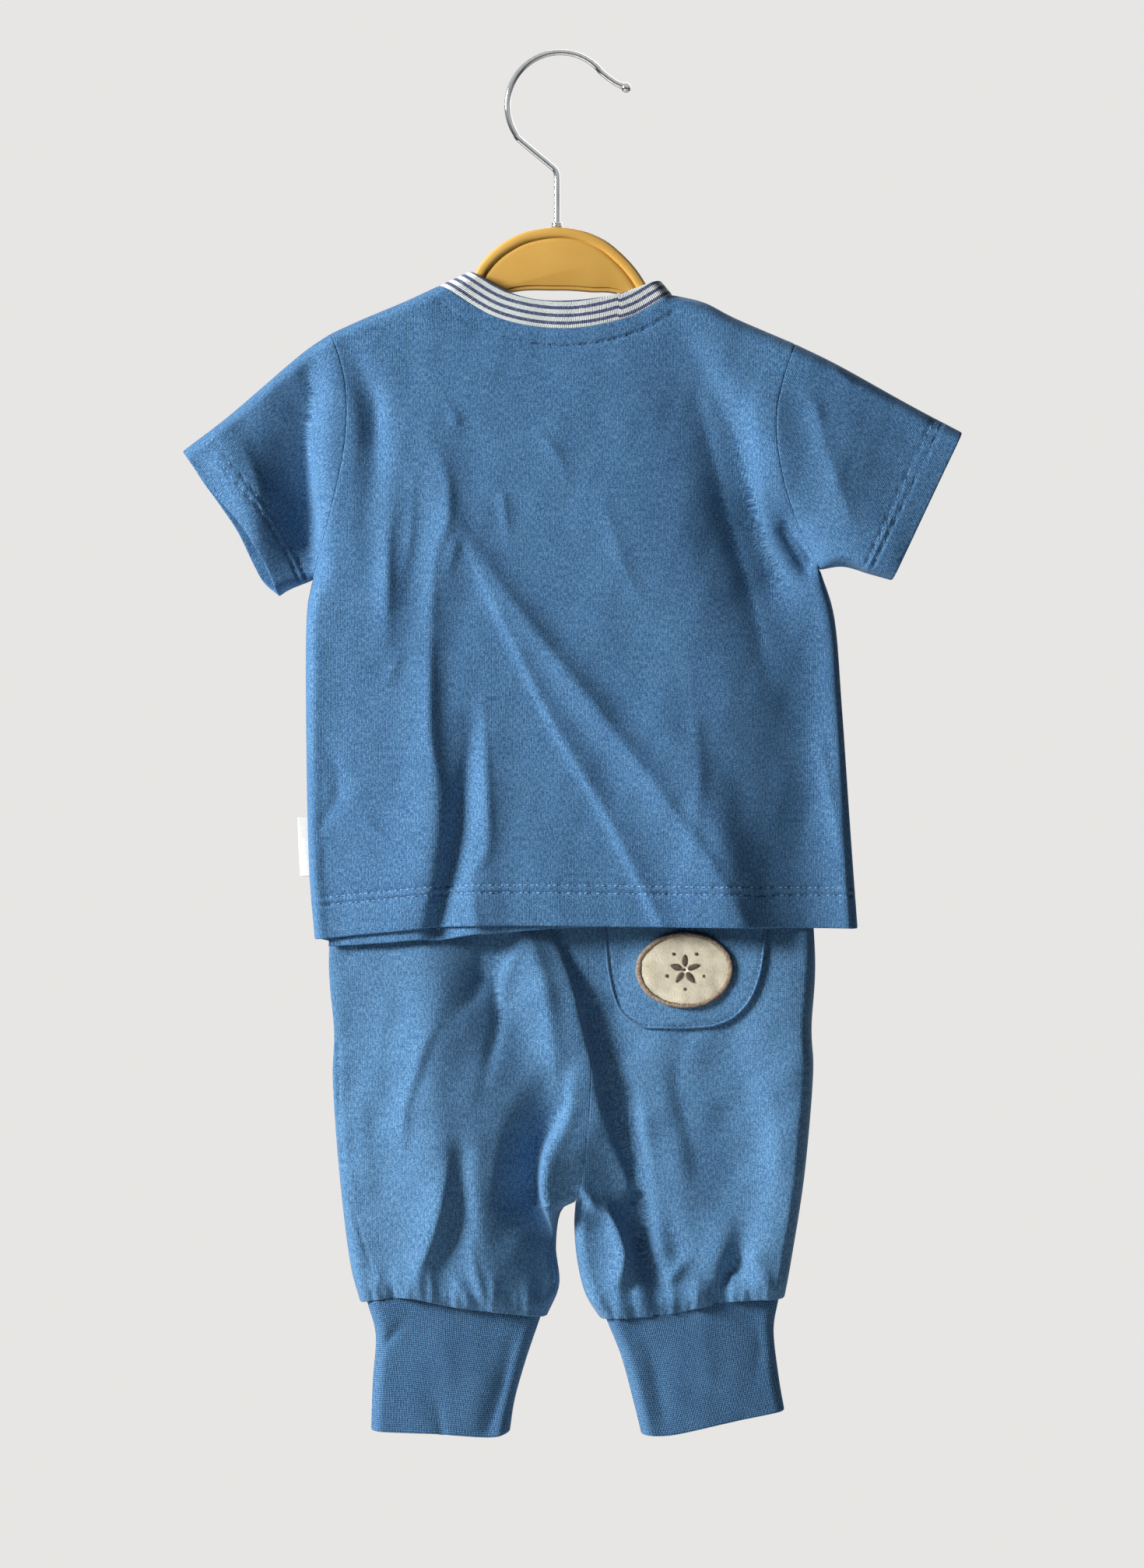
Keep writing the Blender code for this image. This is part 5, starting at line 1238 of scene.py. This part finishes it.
def build_shirt(materials):
    back, front = shirt_layers()
    jersey = materials["jersey"]
    for word, cloth, neck_seam, hem, cell in (
            ("back", back, BACK_NECK_SEAM, SHIRT_BACK_HEM, CELL),
            ("front", front, FRONT_NECK_SEAM, SHIRT_FRONT_HEM, COARSE_CELL)):
        panel = build_shirt_panel("shirt_%s_cloth" % word, cloth, neck_seam, hem, cell, jersey)
        piece(panel, "shirt_jersey", "shirt_" + word)
    hem_rows = [(cloth, hem_groove(hem, distance).path[3:-3])
                for cloth, hem in ((back, SHIRT_BACK_HEM), (front, SHIRT_FRONT_HEM)) for distance in HEM_ROWS]
    for word, edges, hems, up, turn in SLEEVES:
        layers = [sleeve_layer(facing, hem, up) for facing, hem in zip((BACK, FRONT), hems)]
        sleeve = build_sleeve("sleeve_%s_cloth" % word, layers, edges, hems, turn, jersey)
        piece(sleeve, "shirt_jersey", "sleeve_" + word)
        hem_rows += [(cloth, hem_groove(hem, distance, up).path[5:-5])
                     for cloth, hem in zip(layers, hems) for distance in SLEEVE_HEM_ROWS]
    piece(build_neckband(materials["striped"]), "neck_rib", "neckband")
    piece(build_label(materials["label"]), "label_satin", "side_label")
    neck_rows = [(back, neck_groove(BACK_NECK_SEAM).path), (front, neck_groove(FRONT_NECK_SEAM).path)]
    for name, rows, first, thread in (
            ("neck_stitches", neck_rows, 0, "thread"), ("hem_stitches", hem_rows, 2, "hem_thread")):
        routes = [stitch_routes(cloth, path, seed=seed) for seed, (cloth, path) in enumerate(rows, first)]
        piece(tubes(name, np.concatenate(routes), THREAD, materials[thread]), "shirt_jersey")
    piece(build_hem_turning(back, jersey), "shirt_jersey")


# The trousers

def trouser_layer(facing, leg):
    folds, creases = TROUSER_RELIEF[facing]
    side_seam = Groove(smooth_path(leg.side_seam), *LEG_SEAM_GROOVE)
    return Cloth(trouser_rule, facing, folds, (*creases, *gather_creases()), SIDE_GAP, [side_seam],
                 lean=TROUSER_LEAN)


def build_leg(name, cloth, leg, cell, material):
    """Half of a back or front, from the waist to the cuff."""
    outer = plain_edge(leg.outer)
    inner = joined((smooth_path(CENTRE_SEAM), CROTCH), (smooth_path(leg.inseam), 1.0))
    left, right = (outer, inner) if leg.hand < 0 else (inner, outer)
    columns = spaced(LEG_WIDTH, cell, AT_CLOSED_EDGE, AT_CLOSED_EDGE)
    rows = spaced(LEG_LENGTH, cell, AT_OPEN_EDGE, AT_OPEN_EDGE)
    places = coons(left, right, plain_edge(leg.waist), plain_edge(leg.cuff_seam), columns, rows)
    points = cloth.at(places)
    nearness = columns if leg.hand < 0 else 1 - columns
    points[..., 0] += (leg.hand * SIDE_GAP + cloth.side * CENTRE_SHIFT) * nearness
    share = thinning(places, [smooth_path(leg.cuff_seam, 60)], 1.6, 0.3)
    share *= thinning(places, [smooth_path(CENTRE_SEAM, 60)], 0.8, 0.8)
    return wall(name, points, flat_places(points, places), JERSEY, material, share)


def cuff_layers():
    return [Cloth(cuff_rule, facing, (), CUFF_CREASES, lean=TROUSER_LEAN) for facing in (BACK, FRONT)]


def build_cuff(name, leg, material):
    """A rib tube, whose top reaches a little inside the leg."""
    left, right = [((side[0][0], side[0][1] + CUFF_INSIDE), *side[1:]) for side in leg.cuff_sides]
    top = [left[0], *[(x, z + CUFF_INSIDE - 0.3) for x, z in leg.cuff_seam[1:-1]], right[0]]
    columns = spaced(90.0, 1.5, AT_CLOSED_EDGE, AT_CLOSED_EDGE)
    rows = spaced(60.0, 1.5, AT_OPEN_EDGE, AT_OPEN_EDGE)
    places = coons(plain_edge(left), plain_edge(right), plain_edge(top), plain_edge(leg.cuff_end),
                   columns, rows)
    grids = [cloth.at(places) for cloth in cuff_layers()]
    width = np.broadcast_to(columns * CUFF_FLAT_WIDTH, places.shape[:2])
    length = np.broadcast_to((rows * CUFF_FLAT_LENGTH)[:, None], places.shape[:2])
    flats = [np.stack([across, length], axis=-1) for across in (width, 2 * CUFF_FLAT_WIDTH - width)]
    share = thinning(places, [smooth_path(top, 60), smooth_path(leg.cuff_end, 60)], 1.2, 0.4)
    return wall(name, ring(*grids), ring(*flats), RIB, material, ring(share, share), wrap=True)


def build_waistband(material):
    """The elastic's casing, rippled all round, above the legs' tops."""
    waist = [(x, z + 0.2) for x, z in WAIST]
    top = [(x, z + BAND_HEIGHT) for x, z in WAIST]
    columns = spaced(190.0, 1.6, AT_WAIST_EDGE, AT_WAIST_EDGE)
    rows = np.linspace(0, 1, 13)
    places = coons(plain_edge((waist[0], top[0])), plain_edge((waist[-1], top[-1])),
                   plain_edge(waist), plain_edge(top), columns, rows)
    closed = [smooth_path((waist[end], top[end])) for end in (0, -1)]
    ripple = 0.25 * np.sin(places[..., 0] * 1.3 + 2 * np.sin(places[..., 0] * 0.11))
    depth = (WAISTBAND_DEPTH + ripple - 0.1) * edge_rise(places, closed, WAISTBAND_DEPTH)
    grids = [np.stack([places[..., 0], facing * depth, places[..., 1]], axis=-1) for facing in (BACK, FRONT)]
    return wall("waistband_elastic", ring(*grids), ring(places, places), 1.2, material, wrap=True)


def build_pocket(cloth, materials):
    """A patch pocket with a turned edge, stitched down in a shallow groove, open under the shirt."""
    columns = spaced(80.0, 1.3, AT_POCKET_EDGE, AT_POCKET_EDGE)
    rows = spaced(66.0, 1.3, AT_POCKET_TOP, AT_POCKET_EDGE)
    top = (POCKET_LEFT[0], POCKET_RIGHT[0])
    places = coons(plain_edge(POCKET_LEFT), plain_edge(POCKET_RIGHT), plain_edge(top),
                   plain_edge(POCKET_FOOT), columns, rows)
    border = smooth_path((*POCKET_LEFT, *POCKET_FOOT[1:-1], *POCKET_RIGHT[::-1]), 240)
    gap = gap_to(places, [border], 8.0)
    lift = 0.35 + 1.5 * quarter_round(gap / 0.8) + 0.35 * np.exp(-((gap - 1.0) / 0.7) ** 2)
    lift -= 0.45 * np.exp(-((gap - POCKET_STITCH) / 0.55) ** 2)
    points = cloth.raised(places, lift)
    share = 0.45 + 0.55 * quarter_round(gap / 0.9)
    flat = flat_places(points, places)
    pocket = wall("pocket_cloth", points, flat, POCKET_THICKNESS, materials["fleece"], share)
    line = inset_path(border, POCKET_STITCH)[6:-6]
    stitches = stitch_routes(cloth, line, 2.6, 1.8, POCKET_TOP_LIFT, seed=40)
    return pocket, tubes("pocket_stitches", stitches, 0.24, materials["thread"])


def badge_places(turns, scale):
    rounds = np.stack([np.cos(turns), np.sin(turns)], axis=-1)
    return BADGE_CENTRE + np.array(BADGE_RADII) * rounds * np.asarray(scale)[..., None]


def build_badge(cloth, materials):
    """A felt oval with a satin-stitched border and a small five-petalled flower."""
    turns = np.linspace(0, 2 * pi, 121)
    rings = np.array((1.0, 0.992, 0.975, 0.94, 0.88, *np.linspace(0.8, 0.1, 8), 0.03))[:, None]
    places = badge_places(turns[None, :], rings)
    lift = BADGE_BASE + 0.5 + 0.75 * quarter_round((1 - rings) / 0.05) + unevenness(places, FELT_WAVES)
    oval = wall("badge_felt_oval", cloth.raised(places, lift), places, FELT, materials["felt"], wrap=True)
    rng = np.random.default_rng(21)
    across = np.linspace(0, 1, 6)
    outer = 1.02 + rng.normal(0, 0.004, BORDER_THREADS)[:, None]
    inner = 0.895 + rng.normal(0, 0.006, BORDER_THREADS)[:, None]
    turn = 2 * pi * np.arange(BORDER_THREADS)[:, None] / BORDER_THREADS + 0.006 * across
    places = badge_places(turn, outer + (inner - outer) * across)
    rise = 0.25 + 1.35 * quarter_round(across / 0.22) - 0.35 * np.clip((across - 0.8) / 0.2, 0, 1)
    border = tubes("badge_border", cloth.raised(places, BADGE_BASE + rise), BADGE_THREAD, materials["border"])
    return oval, border, build_flower(cloth, materials["brown"])


def build_flower(cloth, material):
    """Five satin petals and a ring of knots, in brown thread."""
    def outwards(start, share):
        turn = start + 2 * pi * share
        return np.array((cos(turn), sin(turn)))

    routes = []
    for petal in range(PETALS):
        out = outwards(pi / 2, petal / PETALS)
        side = np.array((-out[1], out[0]))
        for thread in range(PETAL_THREADS):
            share = (thread + 0.5) / PETAL_THREADS
            middle = BADGE_CENTRE + out * (1.6 + 5.6 * share)
            half = 1.5 * sin(pi * share ** 0.8) ** 0.7 + 0.15
            routes.append(middle + side * np.linspace(-half, half, 6)[:, None])
    for knot in range(PETALS):
        centre = BADGE_CENTRE + KNOT_RADIUS * outwards(-pi / 2, knot / PETALS)
        for line in (-0.45, 0.0, 0.45):
            routes.append(centre + np.stack([np.linspace(-0.8, 0.8, 6), np.full(6, line)], axis=-1))
    rise = BADGE_BASE + 1.15 + 0.3 * np.sin(pi * np.linspace(0.08, 0.92, 6))
    return tubes("badge_flower", cloth.raised(np.array(routes), rise), BADGE_THREAD, material)


def build_trousers(materials):
    layers = {}
    for word, leg in LEGS.items():
        for facing, part, cell in ((BACK, "back", CELL), (FRONT, "front", COARSE_CELL)):
            cloth = layers[part, word] = trouser_layer(facing, leg)
            name = "trousers_%s_%s" % (part, word)
            piece(build_leg(name + "_cloth", cloth, leg, cell, materials["fleece"]), "trouser_fleece", name)
        piece(build_cuff("cuff_%s_rib" % word, leg, materials["rib"]), "cuff_rib", "cuff_" + word)
    piece(build_waistband(materials["rib"]), "waist_elastic", "waistband")
    pocket, stitches = build_pocket(layers["back", "right"], materials)
    piece(pocket, "trouser_fleece", "pocket")
    piece(stitches, "trouser_fleece")
    oval, border, flower = build_badge(layers["back", "right"], materials)
    piece(oval, "badge_felt", "badge")
    piece(border, "badge_felt")
    piece(flower, "badge_felt")
    routes = []
    for seed, leg in enumerate(LEGS.values(), 60):
        path = smooth_path(leg.cuff_seam) - (0, 1.6)
        routes += [stitch_routes(cloth, path[8:-8], 2.7, 1.2, 0.0, seed=seed) for cloth in cuff_layers()]
    piece(tubes("trouser_stitches", np.concatenate(routes), 0.22, materials["thread"]), "trouser_fleece")


# The hanger

def arc(centre, radius, start, end, count):
    turns = np.radians(np.linspace(start, end, count))
    return [(centre[0] + radius * cos(a), centre[1] + radius * sin(a)) for a in turns]


def build_hook(material):
    route = [(HOOK_STEM_X, HOOK_STEM_FOOT), (HOOK_STEM_X, -80.0), (HOOK_STEM_X, HOOK_STEM_TOP - 2)]
    route += [*HOOK_BEND, *arc(HOOK_CENTRE, HOOK_RADIUS, HOOK_SLOPE_ANGLE, HOOK_END_ANGLE, 22)]
    route += [*HOOK_LIP, HOOK_TIP]
    path = smooth_path(route, 150)
    curve = bpy.data.curves.new("hook_wire", "CURVE")
    curve.dimensions = "3D"
    curve.bevel_depth = WIRE / 2 * MM
    curve.bevel_resolution = 7
    curve.use_fill_caps = True
    spline = curve.splines.new("POLY")
    spline.points.add(len(path) - 1)
    for point, (x, z) in zip(spline.points, path):
        point.co = (x * MM, 0, z * MM, 1)
    curve.materials.append(material)
    spline.use_smooth = True
    wire = placed(bpy.data.objects.new("hook_wire", curve))
    neck, radius = WIRE / 2 + 0.25, HOOK_BALL / 2
    profile = [(0.0, radius)]
    profile += [(radius * sin(a), radius * cos(a)) for a in np.linspace(0.12, 2.45, 22)]
    profile += [(neck, -2.35), (neck, -2.9), (WIRE / 2 - 0.1, -3.0), (0.0, -3.0)]
    along_lip = Vector((HOOK_TIP[0] - HOOK_LIP[1][0], 0, HOOK_TIP[1] - HOOK_LIP[1][1]))
    tip = turned("hook_tip", profile, 28, material)
    tip.rotation_mode = "QUATERNION"
    tip.rotation_quaternion = along_lip.to_track_quat("Z", "Y")
    tip.location = Vector((HOOK_TIP[0], 0, HOOK_TIP[1])) * MM
    return wire, tip


def turned(name, profile, segments, material):
    """A turned solid about its own Z axis, from (radius, height) places."""
    bm = bmesh.new()
    verts = [bm.verts.new((x * MM, 0, z * MM)) for x, z in profile]
    edges = [bm.edges.new(pair) for pair in zip(verts, verts[1:])]
    bmesh.ops.spin(bm, geom=verts + edges, angle=2 * pi, steps=segments, axis=(0, 0, 1), cent=(0, 0, 0),
                   use_merge=True)
    mesh = bpy.data.meshes.new(name)
    bm.to_mesh(mesh)
    bm.free()
    item = finish_mesh(name, mesh, material)
    mesh.set_sharp_from_angle(angle=radians(40))
    return item


def build_collar(material):
    inner, outer, height = WIRE / 2 + 0.1, 2.5, 2.4
    profile = [(inner, 0), (outer - 0.3, 0), (outer, 0.3), (outer, 0.9), (outer - 0.35, 1.05),
               (outer - 0.35, 1.35), (outer, 1.5), (outer, height - 0.5), (outer - 0.15, height - 0.15),
               (outer - 0.5, height), (inner, height), (inner, 0)]
    collar = turned("hook_collar", profile, 36, material)
    collar.location = Vector((HOOK_STEM_X, 0, DOME[5][1] + 0.3)) * MM
    return collar


def under_shoulders(places_x):
    """Heights just under the shirt's shoulders and the neckband's folds."""
    heights = []
    lines = (
        (SHOULDER_LEFT, ARM_CLEARANCE), (BAND_FOLD_LEFT, BAND_CLEARANCE),
        (BAND_FOLD_RIGHT, BAND_CLEARANCE), (SHOULDER_RIGHT, ARM_CLEARANCE),
    )
    for x in places_x:
        lowest = 0.0
        for points, clearance in lines:
            line = smooth_path(points)
            near = line[np.abs(line[:, 0] - x) < clearance]
            if len(near):
                reach = np.sqrt(clearance ** 2 - (near[:, 0] - x) ** 2)
                lowest = min(lowest, (near[:, 1] - reach).min())
        heights.append(lowest)
    return heights


def hanger_outline():
    """The hanger's outline: arms, a smooth dome, and back underneath."""
    left_top = list(zip(ARM_LEFT_X, under_shoulders(ARM_LEFT_X)))
    right_top = list(zip(ARM_RIGHT_X, under_shoulders(ARM_RIGHT_X)))
    under_left = [(x + ARM_SLANT, z - ARM_HEIGHT) for x, z in left_top[:-1]]
    under_right = [(x - ARM_SLANT, z - ARM_HEIGHT) for x, z in right_top[1:]]
    tip_left = [(left_top[0][0] - out, left_top[0][1] - down) for out, down in ARM_TIP]
    tip_right = [(right_top[-1][0] + out, right_top[-1][1] - down) for out, down in ARM_TIP]
    dome = [tuple(place) for place in smooth_path(DOME, 61)]
    foot = [tuple(place) for place in smooth_path((under_right[0], *DOME_FOOT, under_left[-1]), 41)[1:-1]]
    over = left_top + dome + right_top + tip_right
    return over + under_right[::-1] + foot + under_left[::-1] + tip_left[::-1]


def inward(outline):
    """The direction into a clockwise outline at each point, longer at corners."""
    step = np.roll(outline, -1, axis=0) - outline
    step /= np.linalg.norm(step, axis=1, keepdims=True)
    edge = np.stack([step[:, 1], -step[:, 0]], axis=1)
    corner = edge + np.roll(edge, 1, axis=0)
    corner /= np.linalg.norm(corner, axis=1, keepdims=True)
    return corner / np.maximum((corner * edge).sum(1, keepdims=True), SHARPEST_CORNER)


def build_hanger(material):
    """The moulding: its outline stepped inwards over a rounded rim and a groove."""
    outline = np.array(hanger_outline())
    into = inward(outline)
    rimmed = distance_to(outline, smooth_path(DOME))[0] < 0.5
    share = np.where(rimmed, 1.0, PLAIN_STEP_SHARE)[:, None]
    widths, rises = np.cumsum([(0, 0), *HANGER_STEPS], axis=0).T
    plain = np.minimum.accumulate(rises[::-1])[::-1]
    rings = []
    for width, rise, plain_rise in zip(widths, rises, plain):
        half = HANGER_HALF - rises[4] + np.where(rimmed, rise, plain_rise)
        rings.append(np.insert(outline + width * share * into, 1, -half, axis=1))
    rings = rings[::-1] + [ring_places * (1, -1, 1) for ring_places in rings]
    count = len(outline)
    verts = np.vstack(rings)
    index = np.arange(len(verts)).reshape(len(rings), count)
    after = np.roll(index, -1, axis=1)
    quads = np.stack([index[:-1], after[:-1], after[1:], index[1:]], axis=-1).reshape(-1, 4)
    mesh = bpy.data.meshes.new("hanger_moulding")
    mesh.from_pydata(verts * MM, [], [*quads.tolist(), index[0].tolist(), index[-1].tolist()])
    item = finish_mesh("hanger_moulding", mesh, material)
    mesh.set_sharp_from_angle(angle=radians(45))
    return item


def build_hardware(materials):
    wire, tip = build_hook(materials["chrome"])
    piece(wire, "hook_chrome", "hook")
    piece(tip, "hook_chrome")
    piece(build_collar(materials["chrome"]), "hook_chrome", "collar")
    piece(build_hanger(materials["plastic"]), "hanger_plastic", "hanger_body")
    for node, finish in (("clip_left", "plastic"), ("clip_right", "plastic"), ("trouser_bar", "chrome")):
        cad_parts[node].data.materials.clear()
        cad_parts[node].data.materials.append(materials[finish])


# The studio

def build_world():
    """A pale wall for the camera, and a soft sky that lights little and is reflected more."""
    world = bpy.data.worlds.new("studio")
    bpy.context.scene.world = world
    world.use_nodes = True
    nodes = Nodes(world.node_tree)
    nodes.tree.nodes.clear()
    plain = nodes.add("Background", inputs={"Color": srgb(*WALL_COLOUR)})
    up = nodes.parts(nodes.add("TexCoord"))[2]
    sky = nodes.ramp(nodes.math("MULTIPLY_ADD", up, 0.5, 0.5), *SKY)
    reflected = nodes.add("LightPath", output="Is Glossy Ray")
    strength = nodes.math("MULTIPLY_ADD", reflected, REFLECTED - AMBIENT, AMBIENT)
    around = nodes.add("Background", inputs={"Color": sky, "Strength": strength})
    seen = nodes.add("LightPath", output="Is Camera Ray")
    mixed = nodes.add("MixShader", inputs={0: seen, 1: around, 2: plain})
    surface = nodes.tree.nodes.new("ShaderNodeOutputWorld").inputs["Surface"]
    nodes.tree.links.new(mixed, surface)


def build_lamps():
    for lamp in LAMPS:
        data = bpy.data.lights.new(lamp.name, "AREA")
        data.size = lamp.size
        data.energy = lamp.power
        data.color = lamp.colour
        item = placed(bpy.data.objects.new(lamp.name, data), lamp.place)
        item.rotation_mode = "QUATERNION"
        item.rotation_quaternion = (Vector(LIT_PLACE) - Vector(lamp.place)).to_track_quat("-Z", "Y")


def build_floor():
    bm = bmesh.new()
    bmesh.ops.create_circle(bm, cap_ends=True, segments=96, radius=FLOOR_RADIUS)
    mesh = bpy.data.meshes.new("studio_floor")
    bm.to_mesh(mesh)
    bm.free()
    finish = Finish("pale_floor", 0.8)
    mottle = finish.noise(finish.add("TexCoord", output=3), 3.0, 2.0)
    finish.colour(finish.shades(mottle, (0.3, (226, 225, 223)), (0.7, (232, 231, 229))))
    mesh.materials.append(finish.material)
    placed(bpy.data.objects.new("studio_floor", mesh), (0, 0, FLOOR_HEIGHT))


def build_camera():
    data = bpy.data.cameras.new("camera")
    data.sensor_fit = "VERTICAL"
    data.sensor_height = 24.0
    data.lens = data.sensor_height * VIEW_DISTANCE / FRAME_HEIGHT
    data.clip_start = 0.05
    place = Vector((VIEW_CENTRE[0], -VIEW_DISTANCE, VIEW_CENTRE[1])) * MM
    camera = placed(bpy.data.objects.new("camera", data), place)
    camera.rotation_euler = (pi / 2, 0, 0)
    bpy.context.scene.camera = camera


def main():
    bpy.context.scene.view_settings.view_transform = "Standard"
    materials = make_materials()
    build_camera()
    build_world()
    build_lamps()
    build_floor()
    build_shirt(materials)
    build_trousers(materials)
    build_hardware(materials)


main()
